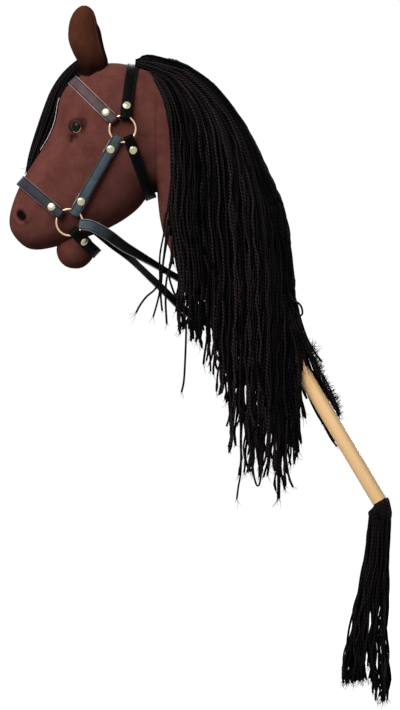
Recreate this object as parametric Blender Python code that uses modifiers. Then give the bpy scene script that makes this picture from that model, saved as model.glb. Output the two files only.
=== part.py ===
"""A hobby horse: a stuffed suede head on a wooden stick, with halter, reins, yarn mane and tail.

Units are metres, +Z is up, and the horse looks along -X. The origin is on the stick's axis, at the
middle of the rider's grip. The halter, the ears and the rings are alike on both sides of the plane
y = 0, and "left" is the horse's own left, at -Y.
"""
from collections import namedtuple
from math import asin, atan2, copysign, cos, pi, radians, sin, sqrt

import bmesh
import bpy
from mathutils import Matrix, Vector
from mathutils.bvhtree import BVHTree

for old in list(bpy.data.objects):
    bpy.data.objects.remove(old, do_unlink=True)

MM = 0.001

# Clearances
TOUCH_GAP = 0.3 * MM            # between two pieces that rest on each other
RING_PLAY = 0.4 * MM            # between a strap's fold and the wire of its ring
POST_PLAY = 0.3 * MM            # between a post or screw and its hole
STUFFING_GAP = 0.7 * MM         # between the cover and the stuffing

# Stick
STICK_DIAMETER = 22 * MM
STICK_LEAN = radians(30.8)      # from plumb, with the head end forward
GRIP_TO_END = 110 * MM          # from the grip down to the lower end
GRIP_TO_HEM = 123 * MM          # from the grip up to the neck's hem
STICK_INSIDE = 335 * MM         # length hidden in the neck
STICK_CHAMFER = 1.2 * MM

# Cover and stuffing
SUEDE_THICKNESS = 1.2 * MM
STUFFING_ABOVE_HEM = 42 * MM
HEAD_HEIGHT = 421.4 * MM        # the head's own centre, along the stick from the hem
HEAD_FORWARD = 18.2 * MM        # the same, forward of the stick's axis
HEAD_DROOP = radians(42.2)      # the head's axis below the horizontal

# Halter
STRAP_WIDTH = 16.5 * MM
CHIN_STRAP_WIDTH = 16.5 * MM
THROAT_STRAP_WIDTH = 16.5 * MM
STRAP_THICKNESS = 1.6 * MM
STRAP_FACET = 0.2 * MM          # how far a strap's flat facets may cut inside its true bend
FOLD_NARROWING = 1 * MM         # taken off each edge of a strap where it goes round a ring
RING_WIRE = 3 * MM
RING_OUTER_DIAMETER = 41 * MM
RIVET_FROM_RING = 34 * MM       # from the ring's centre
FOLD_LENGTH = 43 * MM           # how far a strap's folded end reaches from the ring's centre
RIVET_CAP_DIAMETER = 12.5 * MM
RIVET_CAP_HEIGHT = 2.6 * MM
RIVET_POST_DIAMETER = 4 * MM
RIVET_FOOT_DIAMETER = 8 * MM
RIVET_FOOT_THICKNESS = 0.6 * MM

# Eyes
EYE_DIAMETER = 14 * MM
EYE_DOME = 5 * MM
EYE_POST_DIAMETER = 5 * MM
EYE_POST_LENGTH = 11 * MM
EYE_WASHER_DIAMETER = 15 * MM
EYE_WASHER_THICKNESS = 1.5 * MM

# Trim
BLAZE_WIDTH = 14 * MM
BLAZE_THICKNESS = 0.8 * MM
TAPE_WIDTH = 16 * MM
TAPE_THICKNESS = 1 * MM
TIE_HEIGHT = 5 * MM
TIE_THICKNESS = 1.4 * MM
TIE_ABOVE_HEM = 9 * MM
EAR_THICKNESS = 2.4 * MM
EAR_LINING_THICKNESS = 1.2 * MM
LIP_LENGTH = 55 * MM
LIP_HEIGHT = 55 * MM
LIP_WIDTH = 56 * MM

# Yarn
MANE_THICKNESS = 13 * MM
MANE_LIFT = 6 * MM              # room under the mane for the reins
TAIL_KNOT_RADIUS = 9.5 * MM
TAIL_KNOT_DROP = 10 * MM        # from the stick's end to the middle of the knot
TAIL_PLAY = 0.6 * MM
SCREW_DIAMETER = 4 * MM
SCREW_HEAD_DIAMETER = 8 * MM
SCREW_LENGTH = 38 * MM

STICK_RADIUS = STICK_DIAMETER / 2
RING_RADIUS = (RING_OUTER_DIAMETER - RING_WIRE) / 2
FOLD_RADIUS = RING_WIRE / 2 + RING_PLAY + STRAP_THICKNESS / 2

Y_AXIS = Vector((0, 1, 0))
UP_STICK = Vector((-sin(STICK_LEAN), 0, cos(STICK_LEAN)))
FORWARD = Vector((-cos(STICK_LEAN), 0, -sin(STICK_LEAN)))
MUZZLEWARD = Vector((-cos(HEAD_DROOP), 0, -sin(HEAD_DROOP)))
JAWWARD = Vector((sin(HEAD_DROOP), 0, -cos(HEAD_DROOP)))


def neck_point(height, forward, y=0.0):
    """A point from its height above the hem, along the stick, and its place forward of the axis."""
    return UP_STICK * (GRIP_TO_HEM + height) + FORWARD * forward + Y_AXIS * y


HEAD_CENTRE = neck_point(HEAD_HEIGHT, HEAD_FORWARD)
# The neck and the forelock are measured with the head at this height, and follow it from there.
MEASURED_HEAD_HEIGHT = 421.4 * MM
NECK_STRETCH = HEAD_HEIGHT / MEASURED_HEAD_HEIGHT
HEAD_RISE = UP_STICK * (HEAD_HEIGHT - MEASURED_HEAD_HEIGHT)
STICK_END = UP_STICK * -GRIP_TO_END
TAIL_PIVOT = UP_STICK * -(GRIP_TO_END + TAIL_KNOT_DROP)


def head_point(along, drop, y=0.0):
    """A point from its place along the head's axis, to the muzzle, and its drop towards the jaw."""
    return HEAD_CENTRE + MUZZLEWARD * along + JAWWARD * drop + Y_AXIS * y


part = bpy.data.collections.new("hobby_horse")
cutters = bpy.data.collections.new("cutters")
bpy.context.scene.collection.children.link(part)
bpy.context.scene.collection.children.link(cutters)


# Materials

Finish = namedtuple("Finish", "colour roughness metallic")
SUEDE = Finish((0.150, 0.045, 0.036), 0.95, 0.0)
YARN = Finish((0.010, 0.008, 0.009), 0.9, 0.0)
LEATHER = Finish((0.030, 0.031, 0.034), 0.5, 0.0)
WOOD = Finish((0.820, 0.520, 0.290), 0.55, 0.0)
BRASS = Finish((0.800, 0.720, 0.500), 0.3, 1.0)
STEEL = Finish((0.500, 0.500, 0.500), 0.35, 1.0)
EYE_BLACK = Finish((0.012, 0.009, 0.008), 0.08, 0.0)
FELT = Finish((0.560, 0.460, 0.450), 0.95, 0.0)
STUFFING = Finish((0.800, 0.790, 0.760), 1.0, 0.0)
TAPE = Finish((0.030, 0.028, 0.028), 0.9, 0.0)
PLASTIC = Finish((0.700, 0.700, 0.680), 0.5, 0.0)


def paint(piece, finish):
    material = bpy.data.materials.new(piece.name)
    material.use_nodes = True
    shader = material.node_tree.nodes["Principled BSDF"]
    shader.inputs["Base Color"].default_value = (*finish.colour, 1)
    shader.inputs["Roughness"].default_value = finish.roughness
    shader.inputs["Metallic"].default_value = finish.metallic
    piece.data.materials.clear()
    piece.data.materials.append(material)


def add_mesh(name, points, faces, collection=part, edges=()):
    mesh = bpy.data.meshes.new(name)
    mesh.from_pydata([tuple(p) for p in points], edges, faces)
    mesh.update()
    piece = bpy.data.objects.new(name, mesh)
    collection.objects.link(piece)
    if collection is cutters:
        piece.hide_render = True
        piece.display_type = "WIRE"
    return piece


def smooth(piece, angle=50):
    piece.data.shade_smooth()
    piece.data.set_sharp_from_angle(angle=radians(angle))


def cut(piece, cutter, operation="DIFFERENCE"):
    boolean = piece.modifiers.new(f"{operation.lower()} {cutter.name}", "BOOLEAN")
    boolean.operation = operation
    boolean.object = cutter


def subdivide(piece, levels=1):
    surface = piece.modifiers.new("subdivide", "SUBSURF")
    surface.levels = levels
    surface.render_levels = levels


def solidify(piece, thickness, offset=0.0):
    wall = piece.modifiers.new("wall", "SOLIDIFY")
    wall.thickness = thickness
    wall.offset = offset
    wall.use_even_offset = True


def turning(axis):
    """The rotation that lays local +Z along an axis."""
    return Vector(axis).to_track_quat("Z", "Y").to_matrix().to_4x4()


def turned(name, profile, centre, axis, steps=16, collection=part):
    """A solid turned round an axis. The profile runs down its outer side, as (radius, height).

    A profile that leaves the axis free is closed from its last point to its first."""
    points = [(radius, 0, height) for radius, height in profile]
    edges = [(i, i + 1) for i in range(len(points) - 1)]
    if profile[0][0] > 0:
        edges.append((len(points) - 1, 0))
    piece = add_mesh(name, points, [], collection, edges)
    screw = piece.modifiers.new("turn", "SCREW")
    screw.axis = "Z"
    screw.steps = steps
    screw.render_steps = steps
    screw.use_merge_vertices = True
    screw.merge_threshold = 1e-5
    piece.matrix_world = Matrix.Translation(centre) @ turning(axis)
    smooth(piece)
    return piece


def rod(name, radius, low, high, centre, axis, steps=16, collection=part):
    return turned(name, [(0, high), (radius, high), (radius, low), (0, low)], centre, axis, steps, collection)


def slab(name, low, high):
    """A box between two corners, used as a cutter."""
    bpy.ops.mesh.primitive_cube_add(size=1)
    box = bpy.context.object
    box.name = name
    size = Vector(high) - Vector(low)
    box.data.transform(Matrix.Translation((Vector(low) + Vector(high)) / 2) @ Matrix.Diagonal((*size, 1)))
    for owner in box.users_collection:
        owner.objects.unlink(box)
    cutters.objects.link(box)
    box.hide_render = True
    box.display_type = "WIRE"
    return box


def bridge_faces(rings, around, first=0):
    """Quads between rings of points that are numbered one ring after another."""
    faces = []
    for ring in range(rings - 1):
        for k in range(around):
            a = first + ring * around + k
            b = first + ring * around + (k + 1) % around
            faces.append((a, b, b + around, a + around))
    return faces


# Head and neck

Section = namedtuple("Section", "top bottom half_width")

SIDES = 10                                # points round each section of the cage
CAGE_SWELL = 1 / ((3 + cos(2 * pi / SIDES)) / 4)     # makes up for the shrinking of a subdivided cage
ROUNDNESS = 0.9                           # under 1 gives fuller sections than an ellipse


def head_section(along, top, jaw, half_width):
    return Section(head_point(along * MM, top * MM), head_point(along * MM, jaw * MM), half_width * MM)


def fan_section(top_along, top, jaw_along, jaw, half_width):
    top_point = head_point(top_along * MM, top * MM)
    return Section(top_point, head_point(jaw_along * MM, jaw * MM), half_width * MM)


def neck_section(back_height, back, front_height, front, half_width):
    back_point = neck_point(back_height * NECK_STRETCH * MM, -back * MM)
    return Section(back_point, neck_point(front_height * NECK_STRETCH * MM, front * MM), half_width * MM)


HEM_RADIUS = STICK_RADIUS + TOUCH_GAP + SUEDE_THICKNESS + 0.4 * MM

# Sizes in millimetres, from the muzzle's tip over the cheeks and round the throat, then down the neck.
SECTIONS = [
    head_section(246.5, 1, 24, 17),
    head_section(239, -17, 40, 33.5),
    head_section(214, -35, 56, 43),
    head_section(181, -49.5, 71.5, 47),
    head_section(145, -59, 87, 50),
    head_section(109, -68, 96, 54),
    head_section(82, -83, 97, 60),
    fan_section(60, -105.5, 72, 94, 65),
    fan_section(18, -109, 62, 93, 68),
    fan_section(-23, -97, 55, 95, 63),
    fan_section(-50, -63, 49, 97, 57),
    neck_section(457, 50, 313, 50, 53),
    neck_section(413, 75, 301, 56, 54),
    neck_section(355, 87, 282, 65, 55),
    neck_section(293, 87, 254, 75, 55),
    neck_section(225, 78, 203, 78, 52),
    neck_section(152, 57, 148, 69, 44),
    neck_section(80, 29, 80, 40, 29),
    neck_section(32, 16.5, 32, 18.5, 17.5),
    Section(neck_point(0, -HEM_RADIUS), neck_point(0, HEM_RADIUS), HEM_RADIUS),
]


def power(value, exponent):
    return abs(value) ** exponent * (1 if value >= 0 else -1)


def section_ring(section, swell=CAGE_SWELL):
    centre = (section.top + section.bottom) / 2
    reach = (section.top - section.bottom) / 2
    ring = []
    for k in range(SIDES):
        angle = 2 * pi * k / SIDES
        side = section.half_width * power(sin(angle), ROUNDNESS) * swell
        ring.append(centre + reach * power(cos(angle), ROUNDNESS) * swell + Y_AXIS * side)
    return ring


def horse_form(name, collection, hem_open, grow=0.0):
    """The outside of the stuffed head and neck, as one cage with a rounded muzzle.

    A closed form runs on below the hem, where its end doesn't change the shape above."""
    rings = [section_ring(section) for section in SECTIONS]
    if not hem_open:
        rings.append([2 * p - q for p, q in zip(rings[-1], rings[-2])])
    points = [p for ring in rings for p in ring]
    faces = bridge_faces(len(rings), SIDES)
    faces.append(tuple(reversed(range(SIDES))))
    if not hem_open:
        faces.append(tuple(range(len(points) - SIDES, len(points))))
    form = add_mesh(name, points, faces, collection)
    bm = bmesh.new()
    bm.from_mesh(form.data)
    bmesh.ops.recalc_face_normals(bm, faces=bm.faces)
    bm.to_mesh(form.data)
    bm.free()
    subdivide(form)
    if grow:
        offset = form.modifiers.new("grow", "DISPLACE")
        offset.direction = "NORMAL"
        offset.mid_level = 0
        offset.strength = grow
    form.data.shade_smooth()
    return form


guide = horse_form("form_guide", cutters, False)
grown = horse_form("form_grown", cutters, False, TOUCH_GAP)
bpy.context.view_layer.update()
depsgraph = bpy.context.evaluated_depsgraph_get()
skin_tree = BVHTree.FromObject(guide, depsgraph)


def side_of_skin(x, z):
    """Half the width of the head or neck at a place in the side view, or 0 outside it."""
    hit = skin_tree.ray_cast(Vector((x, -1, z)), Y_AXIS)[0]
    return -hit.y if hit else 0.0


BIG = 2.0
left_half = slab("left_half", (-BIG, -BIG, -BIG), (BIG, -TOUCH_GAP / 2, BIG))
right_half = slab("right_half", (-BIG, TOUCH_GAP / 2, -BIG), (BIG, BIG, BIG))
SIDE_NAMES = {"left": -1, "right": 1}

skins = {}
for side, half in (("left", left_half), ("right", right_half)):
    skin = horse_form(f"skin_{side}", part, True)
    solidify(skin, SUEDE_THICKNESS, -1)
    skin.modifiers["wall"].use_even_offset = False
    cut(skin, half, "INTERSECT")
    paint(skin, SUEDE)
    skins[side] = skin

# The stuffing is parted where the head meets the neck, along a plane up from the throat.
PARTING_ANGLE = radians(29)         # between that plane and the stick
throat = SECTIONS[10].bottom
part_line = UP_STICK * cos(PARTING_ANGLE) - FORWARD * sin(PARTING_ANGLE)
part_normal = part_line.cross(Y_AXIS).normalized()
if part_normal.dot(MUZZLEWARD) < 0:
    part_normal = -part_normal


def wedge(name, point, normal):
    """A large box that fills the side of a plane that its normal points to."""
    box = slab(name, (-BIG, -BIG, 0), (BIG, BIG, BIG))
    box.data.transform(Matrix.Translation(point) @ turning(normal))
    return box


stuffing = {}
for name, normal in (("head_filling", part_normal), ("neck_filling", -part_normal)):
    filling = horse_form(name, part, False, -(SUEDE_THICKNESS + STUFFING_GAP))
    cut(filling, wedge(f"{name}_side", throat + normal * TOUCH_GAP / 2, normal), "INTERSECT")
    paint(filling, STUFFING)
    stuffing[name] = filling

cut(stuffing["neck_filling"], wedge("above_hem", neck_point(STUFFING_ABOVE_HEM, 0), UP_STICK), "INTERSECT")
STICK_TOP = GRIP_TO_HEM + STICK_INSIDE
stick_bore = rod("stick_bore", STICK_RADIUS + TOUCH_GAP, -GRIP_TO_END, STICK_TOP + TOUCH_GAP,
                 (0, 0, 0), UP_STICK, 24, cutters)
cut(stuffing["neck_filling"], stick_bore)


# Stick

def chamfered(radius, low, high, edge):
    return [(0, high), (radius - edge, high), (radius, high - edge), (radius, low + edge),
            (radius - edge, low), (0, low)]


stick_profile = chamfered(STICK_RADIUS, -GRIP_TO_END, STICK_TOP, STICK_CHAMFER)
stick = turned("stick", stick_profile, (0, 0, 0), UP_STICK, 24)
paint(stick, WOOD)
screw_hole = rod("screw_hole", SCREW_DIAMETER / 2 + POST_PLAY, -BIG, SCREW_LENGTH,
                 STICK_END, UP_STICK, 12, cutters)
cut(stick, screw_hole)

TIE_RADIUS = HEM_RADIUS + 1.6 * MM + TIE_THICKNESS
TIE_INSIDE = HEM_RADIUS - 2 * MM
tie_profile = [(TIE_INSIDE, TIE_HEIGHT), (TIE_RADIUS, TIE_HEIGHT), (TIE_RADIUS, 0), (TIE_INSIDE, 0)]
tie = turned("neck_tie", tie_profile, neck_point(TIE_ABOVE_HEM, 0), UP_STICK, 20)
cut(tie, grown)
paint(tie, TAPE)


# Lower lip

lip_centre = head_point(193.6 * MM, 78.5 * MM)
bpy.ops.mesh.primitive_uv_sphere_add(segments=16, ring_count=10, radius=0.5)
lip = bpy.context.object
lip.name = "lower_lip"
lip.data.transform(Matrix.Translation(lip_centre) @ Matrix.Diagonal((LIP_LENGTH, LIP_WIDTH, LIP_HEIGHT, 1)))
for owner in lip.users_collection:
    owner.objects.unlink(lip)
part.objects.link(lip)
smooth(lip)
cut(lip, grown)
paint(lip, SUEDE)


# Halter rings

def skin_reach(centre, radius):
    """The greatest half width of the skin within a distance of a place in the side view."""
    best = 0.0
    for turn in range(12):
        for share in (0, 0.5, 1):
            x = centre.x + radius * share * cos(turn * pi / 6)
            z = centre.z + radius * share * sin(turn * pi / 6)
            best = max(best, side_of_skin(x, z))
    return best


FOOT_ROOM = RIVET_FOOT_THICKNESS + 2 * TOUCH_GAP
cheek_ring = head_point(25.9 * MM, -3.3 * MM)
bit_ring = head_point(172.7 * MM, 44.4 * MM)


def ring_height(centre):
    """The distance from the mid plane to the middle of a ring's wire."""
    reach = skin_reach(centre, RING_OUTER_DIAMETER / 2 + 2 * RING_WIRE)
    return reach + FOOT_ROOM + STRAP_THICKNESS / 2 + FOLD_RADIUS


for ring_name, centre in (("cheek_ring", cheek_ring), ("bit_ring", bit_ring)):
    for side, sign in SIDE_NAMES.items():
        bpy.ops.mesh.primitive_torus_add(major_segments=24, minor_segments=6, major_radius=RING_RADIUS,
                                         minor_radius=RING_WIRE / 2, rotation=(pi / 2, 0, 0),
                                         location=centre + Y_AXIS * sign * ring_height(centre))
        ring = bpy.context.object
        ring.name = f"{ring_name}_{side}"
        for owner in ring.users_collection:
            owner.objects.unlink(ring)
        part.objects.link(ring)
        ring.data.shade_smooth()
        paint(ring, BRASS)


# Halter straps

StrapLine = namedtuple("StrapLine", "centre direction normal side width")


def strap_line(centre, aim, width, side=0.0):
    """A strap's line in the side view: past the ring's centre at a distance, through its aim."""
    to_aim = aim - centre
    turn = -asin(side / to_aim.length)
    angle = atan2(to_aim.z, to_aim.x) + turn
    direction = Vector((cos(angle), 0, sin(angle)))
    normal = Vector((-sin(angle), 0, cos(angle)))
    return StrapLine(centre, direction, normal, side, width)


def on_line(line, t, y, across=0.0):
    return line.centre + line.direction * t + line.normal * (line.side + across) + Y_AXIS * y


def outline_points(line, trees):
    """The solids' outlines in five planes across the strap's width, as (t, y) points."""
    found = []
    for share in (-0.5, -0.25, 0, 0.25, 0.5):
        origin = on_line(line, 0, 0, share * (line.width + 1 * MM))
        for source in trees:
            bm = source.copy()
            geometry = bm.verts[:] + bm.edges[:] + bm.faces[:]
            result = bmesh.ops.bisect_plane(bm, geom=geometry, plane_co=origin, plane_no=line.normal)
            for item in result["geom_cut"]:
                if isinstance(item, bmesh.types.BMVert):
                    found.append(((item.co - line.centre).dot(line.direction), item.co.y))
            bm.free()
    return found


def convex_hull(points):
    """The corners of the hull, counterclockwise in the (t, y) plane."""
    points = sorted(set(points))

    def half(ordered):
        chain = []
        for p in ordered:
            while len(chain) > 1 and ((chain[-1][0] - chain[-2][0]) * (p[1] - chain[-2][1])
                                      - (chain[-1][1] - chain[-2][1]) * (p[0] - chain[-2][0])) <= 0:
                chain.pop()
            chain.append(p)
        return chain[:-1]

    return half(points) + half(reversed(points))


def offset_hull(hull, room):
    """Each corner moved outwards by the room that the strap needs there."""
    moved = []
    for i, (t, y) in enumerate(hull):
        before, after = hull[i - 1], hull[(i + 1) % len(hull)]
        across = Vector((after[1] - before[1], before[0] - after[0])).normalized()
        distance = room(t)
        moved.append((t + across.x * distance, y + across.y * distance))
    return moved


def simplify(path, tolerance):
    """The same bent path with the fewest of its points that keep it within the tolerance."""
    first, last = Vector(path[0]), Vector(path[-1])
    along = (last - first).normalized()
    distances = [abs((Vector(p) - first).cross(along)) for p in path]
    worst = max(range(len(path)), key=distances.__getitem__)
    if distances[worst] <= tolerance:
        return [path[0], path[-1]]
    return simplify(path[:worst + 1], tolerance)[:-1] + simplify(path[worst:], tolerance)


SINGLE_ROOM = TOUCH_GAP + STRAP_FACET * 2 + STRAP_THICKNESS / 2
DOUBLE_ROOM = FOOT_ROOM + STRAP_THICKNESS + TOUCH_GAP + STRAP_THICKNESS / 2
LAYER_STEP = STRAP_THICKNESS + TOUCH_GAP
PAST_FOLD = 4 * MM               # where a strap comes back down to one layer's height, past its fold


def wire_span(line):
    """Where the ring's wire crosses the strap, nearest to and farthest from the ring's centre."""
    half = line.width / 2 - FOLD_NARROWING
    low, high = line.side - half, line.side + half
    widest = max(abs(low), abs(high))
    nearest = 0 if low < 0 < high else min(abs(low), abs(high))
    inner_edge = RING_RADIUS - RING_WIRE / 2
    near = sqrt(inner_edge ** 2 - widest ** 2) + RING_WIRE / 2
    return near, sqrt(RING_RADIUS ** 2 - nearest ** 2)


def fold(line, height, start):
    """One end of a strap, from its outer layer round the wire: points of the fold, then the inner layer."""
    near, far = wire_span(line)
    points = []
    for k in range(6):
        angle = pi / 2 + pi * k / 5
        points.append((near + FOLD_RADIUS * cos(angle), height + FOLD_RADIUS * sin(angle)))
    points.append((far + RING_WIRE, height - FOLD_RADIUS))
    return points


def inner_layer(outer, first, last):
    """Points that run under the outer layer, a layer's step nearer the skin."""
    run = []
    for (t0, y0), (t1, y1) in zip(outer, outer[1:]):
        if t1 <= first or t0 >= last:
            continue
        along = Vector((t1 - t0, y1 - y0)).normalized()
        inward = Vector((along.y, -along.x)) * LAYER_STEP
        for t, y in ((t0, y0), (t1, y1)):
            share = min(max(t, first), last)
            scale = (share - t0) / (t1 - t0)
            point = Vector((t0, y0)).lerp(Vector((t1, y1)), scale) + inward
            if not run or (Vector(run[-1]) - point).length > 1 * MM:
                run.append(tuple(point))
    return run


def folded_end(line, height, outer):
    """The end of a strap as a path: the inner layer's tip, along it, round the wire, to the outer layer.

    Heights are counted outwards from the mid plane, and t outwards from the ring's centre."""
    arc = fold(line, height, outer)
    tail = inner_layer(outer, arc[-1][0] + 3 * MM, FOLD_LENGTH)
    return list(reversed(arc + tail))


def build_strap(name, line, path, reach=BIG):
    """The strap along its path. It narrows near a ring's centre, at t = 0 and at t = reach."""
    points = []
    for t, y in path:
        from_ring = min(t, reach - t) - RING_OUTER_DIAMETER / 2
        half = line.width / 2 - FOLD_NARROWING * min(1, max(0, 1 - from_ring / RING_WIRE))
        points += [on_line(line, t, y, -half), on_line(line, t, y, half)]
    faces = [(2 * i, 2 * i + 1, 2 * i + 3, 2 * i + 2) for i in range(len(path) - 1)]
    strap = add_mesh(name, points, faces)
    solidify(strap, STRAP_THICKNESS)
    paint(strap, LEATHER)
    return strap


def guide_meshes(*objects):
    meshes = []
    for item in objects:
        bm = bmesh.new()
        bm.from_object(item, depsgraph)
        bm.transform(item.matrix_world)
        meshes.append(bm)
    return meshes


head_meshes = guide_meshes(guide)
bpy.context.view_layer.update()
depsgraph = bpy.context.evaluated_depsgraph_get()
chin_meshes = guide_meshes(guide, lip)

Seat = namedtuple("Seat", "name position normal")


def rivet_seat(name, line, outer, distance, sign):
    """The place on the outer layer, at a distance from the ring's centre, and the direction out of it."""
    for (t0, y0), (t1, y1) in zip(outer, outer[1:]):
        if t0 <= distance <= t1:
            share = (distance - t0) / (t1 - t0)
            along = Vector((t1 - t0, y1 - y0)).normalized()
            out = Vector((-along.y, along.x))
            point = on_line(line, distance, sign * (y0 + (y1 - y0) * share))
            return Seat(name, point, line.direction * out.x + Y_AXIS * sign * out.y)
    raise ValueError(f"{name} lies off its strap")


seats = []


def loop_strap(name, centre, aim, width, side=0.0, limit=None, meshes=None):
    """A strap from the left ring over or under the head to the right ring, drawn tight."""
    line = strap_line(centre, aim, width, side)
    height = ring_height(centre)
    near, far = wire_span(line)
    past_wire = far + RING_WIRE / 2
    outlines = outline_points(line, meshes or head_meshes)
    furthest = limit if limit else BIG
    outlines = [(t, abs(y)) for t, y in outlines if near < t < furthest]
    outlines += [(t, -y) for t, y in outlines]
    start = height + FOLD_RADIUS

    def room(t):
        return DOUBLE_ROOM if t < FOLD_LENGTH + PAST_FOLD else SINGLE_ROOM

    moved = offset_hull(convex_hull(outlines), room)
    ends = [(past_wire, -start), (past_wire, start)]
    hull = convex_hull([(t, y) for t, y in moved if t > past_wire] + ends)
    first = hull.index(ends[0])
    chain = hull[first:] + hull[:first]
    outer = simplify(chain[:chain.index(ends[1]) + 1], STRAP_FACET)
    outer = [(near, -start)] + outer + [(near, start)]
    half = [(t, abs(y)) for t, y in outer[:len(outer) // 2 + 1]]
    end = folded_end(line, height, half)
    path = [(t, -y) for t, y in end[:-1]] + outer + [(t, y) for t, y in reversed(end[:-1])]
    strap = build_strap(name, line, path)
    for hand, sign in SIDE_NAMES.items():
        seats.append((strap, rivet_seat(f"rivet_{name}_{hand}", line, half, RIVET_FROM_RING, sign)))
    return strap


crown_aim = head_point(-44.8 * MM, -61.1 * MM)
brow_aim = head_point(31.3 * MM, -103.6 * MM)
throat_aim = head_point(60 * MM, 92 * MM)
nose_aim = head_point(184.4 * MM, -45.8 * MM)
chin_aim = head_point(174.5 * MM, 98 * MM)
throat_reach = (throat_aim - cheek_ring).length + 6 * MM

loop_strap("crown_strap", cheek_ring, crown_aim, STRAP_WIDTH, -1.4 * MM)
loop_strap("brow_band", cheek_ring, brow_aim, STRAP_WIDTH)
loop_strap("throat_latch", cheek_ring, throat_aim, THROAT_STRAP_WIDTH, 3.85 * MM, throat_reach)
loop_strap("nose_band", bit_ring, nose_aim, STRAP_WIDTH)
loop_strap("chin_strap", bit_ring, chin_aim, CHIN_STRAP_WIDTH, -5.9 * MM, None, chin_meshes)


def cheek_strap(hand, sign):
    """A strap from the cheek ring straight down to the ring at the mouth, on one side."""
    line = strap_line(cheek_ring, bit_ring, STRAP_WIDTH)
    far_line = strap_line(bit_ring, cheek_ring, STRAP_WIDTH)
    reach = (bit_ring - cheek_ring).length
    near, far = wire_span(line)
    past_wire = far + RING_WIRE / 2
    top, low = ring_height(cheek_ring), ring_height(bit_ring)
    outlines = [(t, abs(y)) for t, y in outline_points(line, head_meshes) if near < t < reach - near]

    def room(t):
        return DOUBLE_ROOM if min(t, reach - t) < FOLD_LENGTH + PAST_FOLD else SINGLE_ROOM

    start, finish = (past_wire, top + FOLD_RADIUS), (reach - past_wire, low + FOLD_RADIUS)
    moved = offset_hull(convex_hull(outlines + [(near, 0), (reach - near, 0)]), room)
    moved = [(t, y) for t, y in moved if start[0] < t < finish[0]]
    hull = convex_hull(moved + [start, finish, (start[0], 0), (finish[0], 0)])
    first = hull.index(finish)
    chain = hull[first:] + hull[:first]
    outer = simplify(list(reversed(chain[:chain.index(start) + 1])), STRAP_FACET)
    outer = [(near, start[1])] + outer + [(reach - near, finish[1])]
    far_outer = [(reach - t, y) for t, y in reversed(outer)]
    upper_end = folded_end(line, top, outer)
    lower_end = [(reach - t, y) for t, y in folded_end(far_line, low, far_outer)]
    path = upper_end[:-1] + outer + list(reversed(lower_end[:-1]))
    name = f"cheek_strap_{hand}"
    strap = build_strap(name, line, [(t, sign * y) for t, y in path], reach)
    seats.append((strap, rivet_seat(f"rivet_cheek_top_{hand}", line, outer, RIVET_FROM_RING, sign)))
    seats.append((strap, rivet_seat(f"rivet_cheek_low_{hand}", far_line, far_outer, RIVET_FROM_RING, sign)))
    return strap


for hand, sign in SIDE_NAMES.items():
    cheek_strap(hand, sign)


# Rivets: a domed cap outside, a post through both layers of the strap and a flat foot under them

CAP_SEAT = STRAP_THICKNESS / 2 + TOUCH_GAP
FOOT_SEAT = STRAP_THICKNESS / 2 + LAYER_STEP + TOUCH_GAP
RIVET_PROFILE = [
    (0, CAP_SEAT + RIVET_CAP_HEIGHT),
    (RIVET_CAP_DIAMETER * 0.28, CAP_SEAT + RIVET_CAP_HEIGHT * 0.86),
    (RIVET_CAP_DIAMETER * 0.44, CAP_SEAT + RIVET_CAP_HEIGHT * 0.5),
    (RIVET_CAP_DIAMETER / 2, CAP_SEAT),
    (RIVET_POST_DIAMETER / 2, CAP_SEAT),
    (RIVET_POST_DIAMETER / 2, -FOOT_SEAT),
    (RIVET_FOOT_DIAMETER / 2, -FOOT_SEAT),
    (RIVET_FOOT_DIAMETER / 2, -FOOT_SEAT - RIVET_FOOT_THICKNESS),
    (0, -FOOT_SEAT - RIVET_FOOT_THICKNESS),
]
for strap, seat in seats:
    rivet = turned(seat.name, RIVET_PROFILE, seat.position, seat.normal, 10)
    paint(rivet, BRASS)
    hole = rod(f"{seat.name}_hole", RIVET_POST_DIAMETER / 2 + POST_PLAY, -4.5 * MM, 3 * MM,
               seat.position, seat.normal, 10, cutters)
    cut(strap, hole)


# Eyes: a domed button with a post through the cover, held from inside by a washer

eye_place = head_point(73.4 * MM, -51.4 * MM)
WASHER_DROP = SUEDE_THICKNESS + 2.6 * MM
EYE_RADIUS = EYE_DIAMETER / 2
EYE_POST_RADIUS = EYE_POST_DIAMETER / 2
DOME_ANGLES = [pi / 2 * k / 4 for k in range(5)]
EYE_PROFILE = [(EYE_RADIUS * sin(angle), TOUCH_GAP + EYE_DOME * cos(angle)) for angle in DOME_ANGLES]
EYE_PROFILE += [(EYE_POST_RADIUS, TOUCH_GAP), (EYE_POST_RADIUS, -EYE_POST_LENGTH), (0, -EYE_POST_LENGTH)]
POST_HOLE = EYE_POST_DIAMETER / 2 + POST_PLAY
WASHER_PROFILE = [(POST_HOLE, -WASHER_DROP), (EYE_WASHER_DIAMETER / 2, -WASHER_DROP),
                  (EYE_WASHER_DIAMETER / 2, -WASHER_DROP - EYE_WASHER_THICKNESS),
                  (POST_HOLE, -WASHER_DROP - EYE_WASHER_THICKNESS)]
for side, sign in SIDE_NAMES.items():
    start = eye_place + Y_AXIS * sign
    seat, out = skin_tree.ray_cast(start, Y_AXIS * -sign)[:2]
    eye = turned(f"eye_{side}", EYE_PROFILE, seat, out, 16)
    paint(eye, EYE_BLACK)
    washer = turned(f"eye_washer_{side}", WASHER_PROFILE, seat, out, 16)
    paint(washer, PLASTIC)
    hole = rod(f"eye_hole_{side}", POST_HOLE, -2 * WASHER_DROP, EYE_DOME, seat, out, 12, cutters)
    cut(skins[side], hole)
    pocket = rod(f"eye_pocket_{side}", EYE_WASHER_DIAMETER / 2 + POST_PLAY,
                 -EYE_POST_LENGTH - POST_PLAY, EYE_DOME,
                 seat, out, 12, cutters)
    cut(stuffing["head_filling"], pocket)


# Strips that lie on the skin along the mid line

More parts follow.
